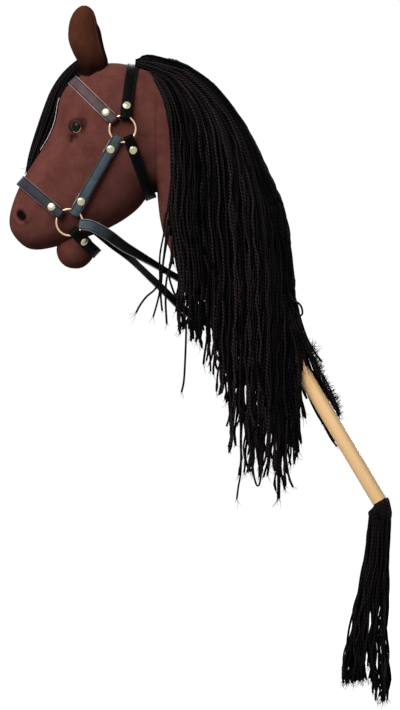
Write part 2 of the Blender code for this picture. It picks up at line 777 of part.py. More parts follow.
def ridge(start, direction, width):
    """How far a line from outside runs before it meets the skin, across a strip's width."""
    hits = []
    for y in (-width / 2, 0, width / 2):
        hit = skin_tree.ray_cast(start + Y_AXIS * y, direction)[3]
        if hit:
            hits.append(hit)
    return min(hits)


FAR = 300 * MM


def ribbon(name, edges, thickness, finish):
    """A strip between pairs of edge points, whose normals look towards the horse's inside."""
    faces = [(2 * i, 2 * i + 1, 2 * i + 3, 2 * i + 2) for i in range(len(edges) // 2 - 1)]
    strip = add_mesh(name, edges, faces)
    solidify(strip, thickness)
    paint(strip, finish)
    return strip


ROOM_DEPTH = 7 * MM                       # how far a strip's room reaches into the skin


def room(name, edges, thickness):
    """A cutter round a strip that reaches into the skin, so that nothing thin is left between."""
    faces = [(2 * i, 2 * i + 1, 2 * i + 3, 2 * i + 2) for i in range(len(edges) // 2 - 1)]
    for end, inner in ((0, 2), (1, 3), (-2, -4), (-1, -3)):
        edges[end] = edges[end] + (edges[end] - edges[inner]).normalized() * 2 * TOUCH_GAP
    cutter = add_mesh(name, edges, faces, cutters)
    depth = ROOM_DEPTH + thickness / 2 + 2 * TOUCH_GAP
    solidify(cutter, depth, 2 * ROOM_DEPTH / depth - 1)
    cutter.modifiers.new("facets", "TRIANGULATE")
    return cutter


def strip_edges(outside_points, direction, width, thickness, extra=0):
    edges = []
    for start in outside_points:
        depth = ridge(start, direction, width) - TOUCH_GAP - 2 * STRAP_FACET - thickness / 2
        edges += [start + direction * depth + Y_AXIS * y for y in (-width / 2 - extra, width / 2 + extra)]
    return edges


BLAZE_START, BLAZE_END, BLAZE_POINTS = 62 * MM, 134 * MM, 9
blaze_starts = [head_point(BLAZE_START + (BLAZE_END - BLAZE_START) * k / (BLAZE_POINTS - 1), -FAR)
                for k in range(BLAZE_POINTS)]
ribbon("blaze", strip_edges(blaze_starts, JAWWARD, BLAZE_WIDTH, BLAZE_THICKNESS), BLAZE_THICKNESS, FELT)

TAPE_TOP, TAPE_LOW, TAPE_POINTS = 424 * MM, 95 * MM, 28
tape_starts = [neck_point(TAPE_TOP + (TAPE_LOW - TAPE_TOP) * k / (TAPE_POINTS - 1), -FAR)
               for k in range(TAPE_POINTS)]
ribbon("mane_tape", strip_edges(tape_starts, FORWARD, TAPE_WIDTH, TAPE_THICKNESS), TAPE_THICKNESS, TAPE)
tape_room = room("tape_room", strip_edges(tape_starts, FORWARD, TAPE_WIDTH, TAPE_THICKNESS, TOUCH_GAP),
                 TAPE_THICKNESS)


# Ears: a cupped leaf of suede with a black lining in its hollow

EAR_SET = radians(42.2)                   # between an ear and the square to the head's axis
EAR_SPREAD = 24 * MM                      # from the mid plane, at the root
EAR_SPLAY = 0.1                           # how much further apart, for each length up the ear
EAR_CUP = 0.5                             # depth of the hollow, as a share of the half width
ear_up = -MUZZLEWARD * sin(EAR_SET) - JAWWARD * cos(EAR_SET)
ear_back = ear_up.cross(Y_AXIS).normalized()
if ear_back.dot(MUZZLEWARD) > 0:
    ear_back = -ear_back
ear_root = head_point(0.8 * MM, -98.5 * MM)

# Height above the root, place behind it and half width, in millimetres
EAR_STATIONS = [(-27, 6, 5), (-14, 1.5, 10), (0, 1, 17), (14, -1, 19.5), (29, -7, 21), (43, -11, 21.5),
                (58, -12.3, 20.3), (72, -12, 18.4), (84, -11, 14.5), (91, -10.5, 8.5), (94, -10.5, 2.5)]
EAR_COLUMNS = 8


def ear_leaf(name, sign, stations, first, last, inward, thickness, finish):
    """A leaf from share `first` to share `last` of the ear's width, shifted towards the mid plane."""
    points = []
    for height, back, half_width in stations:
        for k in range(EAR_COLUMNS + 1):
            q = first + (last - first) * k / EAR_COLUMNS
            hollow = EAR_CUP * half_width * MM * (1 - q * q)
            place = ear_root + ear_up * height * MM + ear_back * (back + q * half_width) * MM
            points.append(place + Y_AXIS * sign * (EAR_SPREAD + EAR_SPLAY * height * MM + hollow - inward))
    row = EAR_COLUMNS + 1
    faces = [(r * row + k, r * row + k + 1, (r + 1) * row + k + 1, (r + 1) * row + k)
             for r in range(len(stations) - 1) for k in range(EAR_COLUMNS)]
    leaf = add_mesh(name, points, faces)
    solidify(leaf, thickness)
    leaf.modifiers["wall"].use_even_offset = False
    cut(leaf, grown)
    smooth(leaf)
    paint(leaf, finish)
    return leaf


LINING_SPAN = (-0.85, 1.22)               # from the front edge to past the back one, in half widths
LINING_INWARD = (EAR_THICKNESS + EAR_LINING_THICKNESS) / 2 + 5 * TOUCH_GAP
for side, sign in SIDE_NAMES.items():
    ear_leaf(f"ear_{side}", sign, EAR_STATIONS, -1, 1, 0, EAR_THICKNESS, SUEDE)
    ear_leaf(f"ear_lining_{side}", sign, EAR_STATIONS[:-2], *LINING_SPAN,
             LINING_INWARD, EAR_LINING_THICKNESS, YARN)


# Reins: one strap from ring to ring, round the neck under the mane

REIN_WIDTH = STRAP_WIDTH
REIN_ANGLE = radians(-10)                 # at the ring, from the horizontal
RouteStop = namedtuple("RouteStop", "x z y twist")
# Places in the side view from the ring's centre, distance from the mid plane, and twist in degrees
NEAR_ROUTE = [RouteStop(56, -18.5, 52, 0), RouteStop(80, -36, 54, 25), RouteStop(118, -58, 55, 50),
              RouteStop(160, -83, 52, 50), RouteStop(210, -113, 49, 25), RouteStop(252, -136, 43, 8)]
FAR_ROUTE = [RouteStop(58, -26, 52, 10), RouteStop(88, -52, 54, 50), RouteStop(130, -92, 55, 50),
             RouteStop(172, -131, 52, 50), RouteStop(214, -148, 44, 25), RouteStop(254, -158, 34, 8)]
CREST_STOP = RouteStop(327, -144, 0, 0)
CREST_SIDE = RouteStop(300, -153, 24, 0)
REIN_LIFT = STRAP_THICKNESS / 2 + TOUCH_GAP + 1.1 * MM   # off the skin, with room for its own facets

rein_line = strap_line(bit_ring, bit_ring + Vector((cos(REIN_ANGLE), 0, sin(REIN_ANGLE))), REIN_WIDTH)
rein_height = ring_height(bit_ring)


def smooth_route(stops, pieces):
    """A Catmull-Rom curve through the stops, with the same number of pieces between each two."""
    stops = [2 * stops[0] - stops[1]] + stops + [2 * stops[-1] - stops[-2]]
    route = []
    for a, b, c, d in zip(stops, stops[1:], stops[2:], stops[3:]):
        for k in range(pieces):
            s = k / pieces
            route.append(0.5 * (2 * b + (c - a) * s + (2 * a - 5 * b + 4 * c - d) * s * s
                                + (3 * b - a - 3 * c + d) * s ** 3))
    return route + [stops[-2]]


def stop_place(stop, sign):
    return bit_ring + Vector((stop.x * MM, sign * stop.y * MM, stop.z * MM))


REIN_PIECES = 3                 # sections of the strap between each two stops
REIN_LEAD = 14 * MM              # the straight run past the ring's wire
LEAD_SECTIONS = 2 * REIN_PIECES + 1


def rein_points():
    """Centre line and width direction of the whole strap, from the left ring to the right one."""
    _, far = wire_span(rein_line)
    off_ring = rein_height + FOLD_RADIUS
    lead = [(far + RING_WIRE / 2, off_ring), (far + REIN_LEAD, off_ring)]
    places, twists = [], []
    for sign, stops in ((-1, NEAR_ROUTE + [CREST_SIDE]), (1, FAR_ROUTE + [CREST_SIDE])):
        side_places = [on_line(rein_line, t, sign * y) for t, y in lead]
        side_places += [stop_place(stop, sign) for stop in stops]
        side_twists = [0, 0] + [sign * radians(s.twist) for s in stops]
        if sign < 0:
            places, twists = side_places + [stop_place(CREST_STOP, 1)], side_twists + [0]
        else:
            places += reversed(side_places)
            twists += reversed(side_twists)
    rows = [Vector((*place, twist)) for place, twist in zip(places, twists)]
    return smooth_route(rows, REIN_PIECES)


def above_skin(place):
    """The shortest way from the skin to a place, negative inside, and the direction out."""
    seat, out = skin_tree.find_nearest(place)[:2]
    return (place - seat).dot(out), out


def rein_edges(extra):
    """The edges of the strap between its folds, and the centre line between them, off the skin."""
    route = rein_points()
    centres = [row.to_3d() for row in route]
    for _ in range(4):
        widths = []
        for i, centre in enumerate(centres):
            along = (centres[min(i + 1, len(centres) - 1)] - centres[max(i - 1, 0)]).normalized()
            crestward = min(1, max(0, (centre.x - bit_ring.x) / (CREST_STOP.x * MM)))
            upright = (rein_line.normal * (1 - crestward) + UP_STICK * crestward).normalized()
            across = (upright - along * upright.dot(along)).normalized()
            widths.append(Matrix.Rotation(route[i][3], 3, along) @ across)
        for i in range(2, len(centres) - 2):
            # Beside the ring the strap moves only sideways, so that it stays in line with its fold.
            beside = min(i, len(centres) - 1 - i) < LEAD_SECTIONS
            for k in (-0.5, -0.25, 0, 0.25, 0.5):
                height, out = above_skin(centres[i] + widths[i] * REIN_WIDTH * k)
                way = Y_AXIS * copysign(1, centres[i].y) if beside else out
                centres[i] += way * max(0, REIN_LIFT - height)
    edges = []
    for centre, across in zip(centres, widths):
        edges += [centre - across * (REIN_WIDTH / 2 + extra), centre + across * (REIN_WIDTH / 2 + extra)]
    return edges, centres


def rein_fold(sign, run):
    """Edge points of the strap's turn round the ring on one side, from its tip to the run."""
    near, _ = wire_span(rein_line)
    outer = [((p - bit_ring).dot(rein_line.direction), abs(p.y)) for p in run]
    outer = [(near, rein_height + FOLD_RADIUS)] + outer
    reach = rein_line.normal * (REIN_WIDTH / 2 - FOLD_NARROWING)
    edges = []
    for t, y in folded_end(rein_line, rein_height, outer):
        edges += [on_line(rein_line, t, sign * y) - reach, on_line(rein_line, t, sign * y) + reach]
    return edges


edges, centres = rein_edges(0)
right_fold = rein_fold(1, centres[:-9:-1])
right_fold.reverse()
for i in range(0, len(right_fold), 2):
    right_fold[i], right_fold[i + 1] = right_fold[i + 1], right_fold[i]
ribbon("reins", rein_fold(-1, centres[:8]) + edges + right_fold, STRAP_THICKNESS, LEATHER)
rein_room = room("rein_room", rein_edges(TOUCH_GAP)[0], STRAP_THICKNESS)


# Mane: a curtain of yarn on each side of the neck, sewn to the tape on the crest

# The outline in the side view: from the grip, across and up, in millimetres. The yarn hangs plumb.
MANE_BACK = [(-260, 551), (-239, 546), (-207, 528), (-187, 515), (-160, 482), (-129, 433), (-107, 382),
             (-82, 330), (-71, 257), (-67, 195), (-58, 177), (-61, 150), (-64, 82), (-56, 31), (-61, -25),
             (-61, -95)]
MANE_FRONT = [(-276, 551), (-286, 545), (-281, 532), (-268, 510), (-257, 486), (-251, 455), (-248, 420),
              (-246, 380), (-250, 316), (-241, 264), (-236, 229), (-243, 165), (-243, -95)]
MANE_TOP = 551
LEFT_ENDS = [-23, -46, -90, -69, -72, -84, -37, 18, 60, 94, 132, 142, 165]
MANE_ROWS = 15
YARN_TAPER = 0.45                         # thickness at the ends, as a share of the full one
BUNDLES = 0.22                            # how much the gathered strands stand proud
HANG_DECAY = 0.985                        # how the yarn closes in again below the widest place, by rows
HEM_Z = 140                               # where the back strands begin to part round the stick
HEM_FLARE = 50                            # the height over which they part
stick_room = rod("stick_room", STICK_RADIUS + TOUCH_GAP, -GRIP_TO_END, GRIP_TO_HEM,
                 (0, 0, 0), UP_STICK, 24, cutters)
tie_room = rod("tie_room", TIE_RADIUS + 2 * TOUCH_GAP, -TIE_ABOVE_HEM, TIE_HEIGHT + TOUCH_GAP,
               neck_point(TIE_ABOVE_HEM, 0), UP_STICK, 24, cutters)


def outline_x(outline, z):
    """The outline's place across, at a height, both in millimetres."""
    for (x0, z0), (x1, z1) in zip(outline, outline[1:]):
        if z0 >= z >= z1:
            return x0 + (x1 - x0) * (z0 - z) / (z0 - z1)
    return outline[0][0] if z > outline[0][1] else outline[-1][0]


def side_of_stick(x, z):
    """Half the stick's width, seen from behind, at a place in the side view."""
    off_axis = x * UP_STICK.z - z * UP_STICK.x
    return sqrt(max(0, STICK_RADIUS ** 2 - off_axis ** 2))


def mane_curtain(name, sign, back_outline, ends):
    """Columns of yarn from the crest to their own ends, each hanging from where it leaves the neck."""
    columns = len(ends)
    inner, outer = [], []
    for j, end in enumerate(ends):
        q = j / (columns - 1)
        hang = 0.0
        for i in range(MANE_ROWS):
            v = (i / (MANE_ROWS - 1)) ** 1.15
            z = MANE_TOP + (end - MANE_TOP) * v
            back = outline_x(back_outline, MANE_TOP + (ends[0] - MANE_TOP) * v)
            front = outline_x(MANE_FRONT, MANE_TOP + (ends[-1] - MANE_TOP) * v)
            x = (back + (front - back) * q) * MM
            bare = max(side_of_skin(x, z * MM), side_of_stick(x, z * MM))
            lift = MANE_LIFT if bare or hang else 0
            hang = max(bare, hang * HANG_DECAY)
            apart = max(min(1, q * 6), min(1, (HEM_Z - z) / HEM_FLARE))
            edge = sqrt(max(0.0, 1 - (1 - min(1, q * 3.2)) ** 2))
            full = MANE_THICKNESS * (0.35 + 0.65 * edge) * (1 - (1 - YARN_TAPER) * v ** 3)
            full *= 1 + BUNDLES * (0.5 if j % 2 else -0.5) * min(1, v * 4)
            near = max(TOUCH_GAP / 2, (hang + lift) * apart)
            inner.append(Vector((x, sign * near, z * MM)))
            outer.append(Vector((x, sign * (near + full), z * MM)))
    points = inner + outer
    rows, shift = MANE_ROWS, len(inner)
    faces = []
    for j in range(columns - 1):
        for i in range(rows - 1):
            a = j * rows + i
            for corners in ((a, a + 1, a + rows + 1), (a, a + rows + 1, a + rows)):
                faces += [corners, tuple(shift + k for k in reversed(corners))]
    rim = [i for i in range(rows)] + [j * rows + rows - 1 for j in range(1, columns)]
    rim += [(columns - 1) * rows + i for i in reversed(range(rows - 1))]
    rim += [j * rows for j in reversed(range(1, columns - 1))]
    for a, b in zip(rim, rim[1:] + rim[:1]):
        faces += [(a, b, b + shift), (a, b + shift, a + shift)]
    curtain = add_mesh(name, points, faces)
    bm = bmesh.new()
    bm.from_mesh(curtain.data)
    bmesh.ops.recalc_face_normals(bm, faces=bm.faces)
    bm.to_mesh(curtain.data)
    bm.free()
    for cutter in (grown, tape_room, rein_room, stick_room, tie_room):
        cut(curtain, cutter)
    smooth(curtain, 70)
    paint(curtain, YARN)
    return curtain


mane_curtain("mane_left", -1, MANE_BACK, LEFT_ENDS)
RIGHT_BACK = MANE_BACK[:10] + [(-49, 135), (-33, 109), (-18, 71), (-2, 44), (-1, 26)]
RIGHT_ENDS = [26, 18, 48, 42, -40, -72, -45, 10, 50, 90, 120, 140, 160]
mane_curtain("mane_right", 1, RIGHT_BACK, RIGHT_ENDS)


# Yarn bundles: forelock and tail

YARN_SIDES = 12
LOBES = 0.1                               # how much every other strand stands proud


def bundle(name, sections):
    """A solid through rings, each given by its centre, two half axes across it and nothing else."""
    points = []
    for centre, first, second in sections:
        for k in range(YARN_SIDES):
            turn = 2 * pi * k / YARN_SIDES
            proud = 1 + LOBES * (k % 2 - 0.5)
            points.append(centre + (first * cos(turn) + second * sin(turn)) * proud)
    faces = bridge_faces(len(sections), YARN_SIDES)
    faces.append(tuple(reversed(range(YARN_SIDES))))
    faces.append(tuple(range(len(points) - YARN_SIDES, len(points))))
    yarn = add_mesh(name, points, faces)
    bm = bmesh.new()
    bm.from_mesh(yarn.data)
    bmesh.ops.triangulate(bm, faces=bm.faces)
    bmesh.ops.recalc_face_normals(bm, faces=bm.faces)
    bm.to_mesh(yarn.data)
    bm.free()
    smooth(yarn, 70)
    paint(yarn, YARN)
    return yarn


# The forelock's middle line: across, up and towards the right side, then half thickness and half width
FORELOCK = [(-338, 531, 5, 4, 6), (-349, 550, 5, 6, 8), (-368, 547, 8, 7, 8), (-393, 527, 17, 8, 11),
            (-411, 499, 23, 10.5, 15), (-421.5, 468, 27, 13.5, 16.5), (-433, 435.5, 28, 12.5, 17),
            (-444.5, 403.5, 26, 9.5, 15), (-452.5, 384, 24, 5, 9)]
forelock_line = [Vector((x, y, z)) * MM + HEAD_RISE for x, z, y, _, _ in FORELOCK]
forelock_sections = []
for i, stop in enumerate(FORELOCK):
    along = (forelock_line[min(i + 1, len(FORELOCK) - 1)] - forelock_line[max(i - 1, 0)]).normalized()
    off_skin = along.cross(Y_AXIS).normalized()
    across = off_skin.cross(along).normalized()
    forelock_sections.append((forelock_line[i], off_skin * stop[3] * MM, across * stop[4] * MM))
cut(bundle("forelock", forelock_sections), grown)

# Tail: a knot screwed under the stick's end, and the strands that hang and swing from it
KNOT_TOP = TAIL_KNOT_DROP - TOUCH_GAP
SCREW_SEAT = -4 * MM                      # from the knot's middle
KNOT_PROFILE = [(0, KNOT_TOP), (TAIL_KNOT_RADIUS, KNOT_TOP)]
KNOT_ANGLES = [pi / 2 * k / 6 for k in range(6)]
KNOT_PROFILE += [(TAIL_KNOT_RADIUS * cos(angle), -TAIL_KNOT_RADIUS * sin(angle)) for angle in KNOT_ANGLES]
KNOT_PROFILE.append((0, -TAIL_KNOT_RADIUS))
tail_root = turned("tail_root", KNOT_PROFILE, TAIL_PIVOT, UP_STICK, 20)
for name, radius, top in (("knot_bore", SCREW_DIAMETER / 2 + POST_PLAY, BIG),
                          ("knot_recess", SCREW_HEAD_DIAMETER / 2 + POST_PLAY, SCREW_SEAT)):
    cut(tail_root, rod(name, radius, -BIG, top, TAIL_PIVOT, UP_STICK, 12, cutters))
paint(tail_root, YARN)

HEAD_TOP = SCREW_SEAT - TOUCH_GAP
SCREW_HEAD_THICKNESS = 2.4 * MM
SCREW_TIP = TAIL_KNOT_DROP + SCREW_LENGTH - 1 * MM
SCREW_RADIUS, SCREW_HEAD_RADIUS = SCREW_DIAMETER / 2, SCREW_HEAD_DIAMETER / 2
HEAD_FLAT = HEAD_TOP - SCREW_HEAD_THICKNESS
SCREW_PROFILE = [(0, SCREW_TIP), (SCREW_RADIUS, SCREW_TIP - SCREW_DIAMETER), (SCREW_RADIUS, HEAD_TOP),
                 (SCREW_HEAD_RADIUS, HEAD_TOP), (SCREW_HEAD_RADIUS, HEAD_FLAT), (0, HEAD_FLAT)]
paint(turned("tail_screw", SCREW_PROFILE, TAIL_PIVOT, UP_STICK, 12), STEEL)

# From the pivot: drop, place across, half width and half depth, in millimetres
TAIL = [(-7, -4.2, 15.9, 14.7), (-16, -5, 17, 15.5), (-33.5, -6.5, 18.1, 16), (-77, -9.4, 19.4, 17.5),
        (-135, -16.7, 26, 22), (-193, -22.8, 30.5, 26), (-251, -23.5, 36, 29), (-278, -22, 30, 24)]
tail_sections = [(Vector((x, 0, z)) * MM, Vector((width * MM, 0, 0)), Vector((0, depth * MM, 0)))
                 for z, x, width, depth in TAIL]
tail_strands = bundle("tail_strands", tail_sections)
tail_strands.location = TAIL_PIVOT
POCKET_RADIUS = TAIL_KNOT_RADIUS + TAIL_PLAY
POCKET_PROFILE = [(POCKET_RADIUS * sin(pi * k / 12), POCKET_RADIUS * cos(pi * k / 12)) for k in range(13)]
cut(tail_strands, turned("tail_pocket", POCKET_PROFILE, TAIL_PIVOT, UP_STICK, 20, cutters))
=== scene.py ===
# %% [markdown]
# # A hobby horse
#
# A stuffed head of brown imitation suede on a wooden stick, with a halter of black straps, a long
# mane of black yarn, and a tail of the same yarn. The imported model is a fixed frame: it says where
# each piece is and how big. Here each piece gets the surface that the real one has.

from collections import namedtuple
from math import cos, pi, radians, sin, sqrt

import bmesh
import bpy
import numpy as np
from mathutils import Matrix, Vector, noise
from mathutils.bvhtree import BVHTree


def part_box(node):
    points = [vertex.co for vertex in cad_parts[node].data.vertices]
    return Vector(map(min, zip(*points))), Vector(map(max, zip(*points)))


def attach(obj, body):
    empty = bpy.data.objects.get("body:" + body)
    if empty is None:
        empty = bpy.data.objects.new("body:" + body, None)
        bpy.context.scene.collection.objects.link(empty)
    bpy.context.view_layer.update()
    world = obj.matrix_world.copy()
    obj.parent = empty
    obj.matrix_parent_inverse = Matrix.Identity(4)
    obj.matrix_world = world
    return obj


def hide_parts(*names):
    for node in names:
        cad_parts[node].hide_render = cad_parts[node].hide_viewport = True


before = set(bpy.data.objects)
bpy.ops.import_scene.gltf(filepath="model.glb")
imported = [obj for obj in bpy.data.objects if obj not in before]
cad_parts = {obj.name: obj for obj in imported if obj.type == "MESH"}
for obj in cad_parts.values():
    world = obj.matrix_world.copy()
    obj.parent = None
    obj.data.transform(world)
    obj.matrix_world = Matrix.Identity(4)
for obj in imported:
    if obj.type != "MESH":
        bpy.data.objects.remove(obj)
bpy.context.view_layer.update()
MM = 0.001
Y_AXIS = Vector((0, 1, 0))
BOTH_SIDES = (("left", -1), ("right", 1))

# %% [markdown]
# The photograph looks squarely at the horse's left side, and the toy is about a metre long. A long
# lens from far off shows it as flat as the photograph does. The camera looks along +Y.

# %% Camera
FRAME_HEIGHT = 1.0295           # what the picture's long side shows at the horse, in metres
CAMERA_DISTANCE = 10.0
SENSOR = 36.0

bpy.ops.object.camera_add(location=(-0.2042, -CAMERA_DISTANCE, 0.1177), rotation=(pi / 2, 0, 0))
camera = bpy.context.object
camera.data.sensor_width = SENSOR
camera.data.lens = SENSOR * CAMERA_DISTANCE / FRAME_HEIGHT
camera.data.clip_end = 100
bpy.context.scene.camera = camera
bpy.context.scene.view_settings.view_transform = "Standard"
print("lens", round(camera.data.lens), "mm")


# %% [markdown]
# Colours are written as on a colour card, in sRGB, and turned to the linear values that shaders
# use. One helper adds a node with its settings and its links. A noise's Scale is how many of its
# patches lie in a metre, so 420 makes marks 2.4 mm across.

# %% Helpers for materials
def colour(code):
    """The linear colour of a code such as '6e3c33'."""
    values = [int(code[i:i + 2], 16) / 255 for i in (0, 2, 4)]
    return (*[v / 12.92 if v <= 0.04045 else ((v + 0.055) / 1.055) ** 2.4 for v in values], 1.0)


def add(tree, kind, settings=None, links=None, output=None):
    """Adds a node and returns the output of that name, or else its first one in use.

    Settings are the node's properties or sockets, and links are its sockets' sources. Sockets go
    by name, or by place where several share a name, as the Mix node's do.
    """
    node = tree.nodes.new("ShaderNode" + kind)
    for name, value in (settings or {}).items():
        if isinstance(name, str) and hasattr(node, name):
            setattr(node, name, value)
        else:
            node.inputs[name].default_value = value
    for name, source in (links or {}).items():
        tree.links.new(source, node.inputs[name])
    return node.outputs[output] if output else next(o for o in node.outputs if o.enabled)


def start_material(name, **shader_values):
    """A material and its nodes. The Principled shader's values go by their sockets' names."""
    material = bpy.data.materials.new(name)
    material.use_nodes = True
    for socket, value in shader_values.items():
        shader = material.node_tree.nodes["Principled BSDF"]
        shader.inputs[socket.replace("_", " ")].default_value = value
    print("material", name)
    return material, material.node_tree


def feed(tree, **sources):
    """Links sources to the Principled shader's sockets."""
    for socket, source in sources.items():
        tree.links.new(source, tree.nodes["Principled BSDF"].inputs[socket.replace("_", " ")])


def dress(piece, material):
    piece.data.materials.clear()
    piece.data.materials.append(material)


# %% [markdown]
# ** Suede.** The cover is polyester suede: a knitted back with a short brushed nap. It has no
# highlight, a soft bright rim where the nap is seen edge-on, and patches where the nap lies
# different ways. The maker has sprayed dark colour round the eyes and in the nostrils. Shade is
# painted in with the same dark colour along the seams, in the creases and folds round the eyes
# and behind the nostrils, on the eyelids and at the roots of the ears. Both are one attribute
# here, from 0 to 1.

# %% Suede
def suede(name, light, dark, spray_and_shade_colour):
    material, tree = start_material(name, Roughness=0.92, Sheen_Weight=0.04, Sheen_Roughness=0.45,
                                    Specular_IOR_Level=0.04, Sheen_Tint=colour("b07a68"))
    place = add(tree, "TexCoord", output="Object")
    patches = add(tree, "TexNoise", {"Scale": 38.0, "Detail": 3.0, "Roughness": 0.6},
                  {"Vector": place})
    nap = add(tree, "TexNoise", {"Scale": 420.0, "Detail": 2.0, "Roughness": 0.7},
              {"Vector": place})
    share = add(tree, "MapRange", {"From Min": 0.35, "From Max": 0.72, "To Max": 0.55},
                {"Value": patches})
    cloth = add(tree, "Mix", {"data_type": "RGBA", 6: colour(light), 7: colour(dark)}, {0: share})
    fibre = add(tree, "MapRange", {"From Min": 0.3, "From Max": 0.7, "To Min": 0.86,
                                   "To Max": 1.12}, {"Value": nap})
    lit = add(tree, "VectorMath", {"operation": "SCALE"}, {0: cloth, "Scale": fibre})
    # The attribute holds the sprayed colour, and also painted shade in seams, creases, folds and ear
    # roots.
    spray_and_shade = add(tree, "Attribute", {"attribute_name": "spray_and_shade"}, output="Fac")
    painted = add(tree, "Mix", {"data_type": "RGBA", 7: colour(spray_and_shade_colour)}, {0: spray_and_shade, 6: lit})
    bump = add(tree, "Bump", {"Strength": 0.35, "Distance": 0.0004}, {"Height": nap})
    feed(tree, Base_Color=painted, Normal=bump)
    return material


SUEDE = suede("brown_polyester_suede", "673c36", "421e18", "0a0403")
EAR_SUEDE = suede("brown_polyester_suede_of_ears", "553022", "3c1d14", "120502")


# %% [markdown]
# ** Yarn.** Black acrylic yarn is two plies twisted together, about 3.4 mm thick. The twist shows as
# slanting bright and dark bands: a painted highlight on the plies and painted shade between them.
# So each strand has a UV map with the share of the way round it and the millimetres along it, and
# the bands come from the sum of the two.

# %% Yarn
# Millimetres along the yarn for one turn of the plies. It is twice the real one, so it shows.
PLY_PITCH = 11.0


def yarn(name, lit, deep):
    material, tree = start_material(name, Roughness=0.65, Specular_IOR_Level=0.03)
    uv = add(tree, "UVMap", {"uv_map": "strand"})
    around = add(tree, "SeparateXYZ", links={"Vector": uv})
    turns = add(tree, "Math", {"operation": "DIVIDE", 1: PLY_PITCH},
                {0: around.node.outputs["Y"]})
    both = add(tree, "Math", {"operation": "ADD"}, {0: around, 1: turns})
    angle = add(tree, "Math", {"operation": "MULTIPLY", 1: 4 * pi}, {0: both})
    wave = add(tree, "Math", {"operation": "SINE"}, {0: angle})
    share = add(tree, "MapRange", {"From Min": -1.0}, {"Value": wave})
    # Painted highlight on the plies and painted shade between them, along the twist.
    plies = add(tree, "Mix", {"data_type": "RGBA", 6: colour(deep), 7: colour(lit)}, {0: share})
    shade = add(tree, "Attribute", {"attribute_name": "shade"}, output="Fac")
    scaled = add(tree, "VectorMath", {"operation": "SCALE"}, {0: plies, "Scale": shade})
    bump = add(tree, "Bump", {"Strength": 0.5, "Distance": 0.0004}, {"Height": wave})
    feed(tree, Base_Color=scaled, Normal=bump)
    return material


YARN = yarn("black_acrylic_yarn", "211b1d", "010101")


# %% [markdown]
# ** Strap leather.** The halter is split leather with a smooth pressed finish. It is all black.
# Where straps face the lamp, their sheen is painted into their colour: the brow band is plum,
# the nose band brown-grey, and the cheek straps and the reins near their rings slate. The pale
# edges are partly the grey fibre, where the finish is thin, and partly a painted highlight where
# the light catches them. Each strap has a UV map, `strap`, with the distance across from its
# middle and along it, in millimetres. The pale edge and the pressed line beside the stitches come
# from the distance across.

# %% Strap leather
STITCH_INSET = 2.1              # millimetres from a strap's edge to its line of stitches
STRAP_HALF = 8.25               # half the width of the main straps, in millimetres
FADE_START, FADE_END = 40, 85   # a strap that fades does so between these distances from its ends


def strap_leather(name, face, edge, fades_to=None, length=0.0):
    """Leather with pale edges, which can fade to another colour away from the strap's ends."""
    material, tree = start_material(name, Roughness=0.45, Specular_IOR_Level=0.03)
    place = add(tree, "TexCoord", output="Object")
    grain = add(tree, "TexVoronoi", {"Scale": 900.0, "feature": "DISTANCE_TO_EDGE"},
                {"Vector": place})
    scuffs = add(tree, "TexNoise", {"Scale": 60.0, "Detail": 4.0}, {"Vector": place})
    uv = add(tree, "UVMap", {"uv_map": "strap"})
    sideways = add(tree, "SeparateXYZ", links={"Vector": uv})
    across = add(tree, "Math", {"operation": "ABSOLUTE"}, {0: sideways})
    # Pale edges: the grey fibre where the finish is thin, and a painted highlight where light catches
    # them.
    worn_and_lit_edge = add(tree, "MapRange", {"From Min": STRAP_HALF - 1.25, "From Max": STRAP_HALF - 0.6},
               {"Value": across})
    away = add(tree, "Math", {"operation": "SUBTRACT", 1: STRAP_HALF - STITCH_INSET}, {0: across})
    from_line = add(tree, "Math", {"operation": "ABSOLUTE"}, {0: away})
    line = add(tree, "MapRange", {"From Max": 0.45, "To Min": 1.0, "To Max": 0.0},
               {"Value": from_line})
    groove = add(tree, "MapRange", {"From Min": 0.25, "From Max": 0.8, "To Min": 0.35},
                 {"Value": from_line})
    lightness = add(tree, "MapRange", {"From Min": 0.35, "From Max": 0.75, "To Min": 0.8,
                                       "To Max": 1.35}, {"Value": scuffs})
    finish_mix = add(tree, "Mix", {"data_type": "RGBA", 6: colour(face), 7: colour(edge)},
                     {0: worn_and_lit_edge})
    if fades_to:
        middle = add(tree, "Math", {"operation": "SUBTRACT", 1: length / 2},
                     {0: sideways.node.outputs["Y"]})
        from_middle = add(tree, "Math", {"operation": "ABSOLUTE"}, {0: middle})
        share = add(tree, "MapRange", {"From Min": length / 2 - FADE_START,
                                       "From Max": length / 2 - FADE_END}, {"Value": from_middle})
        fading = add(tree, "Mix", {"data_type": "RGBA", 6: colour(face), 7: colour(fades_to)},
                     {0: share})
        tree.links.new(fading, finish_mix.node.inputs[6])
    lit = add(tree, "Math", {"operation": "MULTIPLY"}, {0: lightness, 1: groove})
    scaled = add(tree, "VectorMath", {"operation": "SCALE"}, {0: finish_mix, "Scale": lit})
    pressed = add(tree, "Math", {"operation": "SUBTRACT"}, {0: grain, 1: line})
    bump = add(tree, "Bump", {"Strength": 0.3, "Distance": 0.0003}, {"Height": pressed})
    feed(tree, Base_Color=scaled, Normal=bump)
    return material


BLACK_LEATHER = strap_leather("black_split_leather", "030303", "1c1d1c")
# The brow band, nose band and cheek straps are black too: these face colours are their painted sheen.
BLACK_LEATHER_PAINTED_BROWN_SHEEN = strap_leather("black_split_leather_painted_brown_sheen", "343338", "6e6a6c")
BLACK_LEATHER_PAINTED_SLATE_SHEEN = strap_leather("black_split_leather_painted_slate_sheen", "48545a", "858e92")
BLACK_LEATHER_PAINTED_PLUM_SHEEN = strap_leather("black_split_leather_painted_plum_sheen", "524244", "9a8e8d")


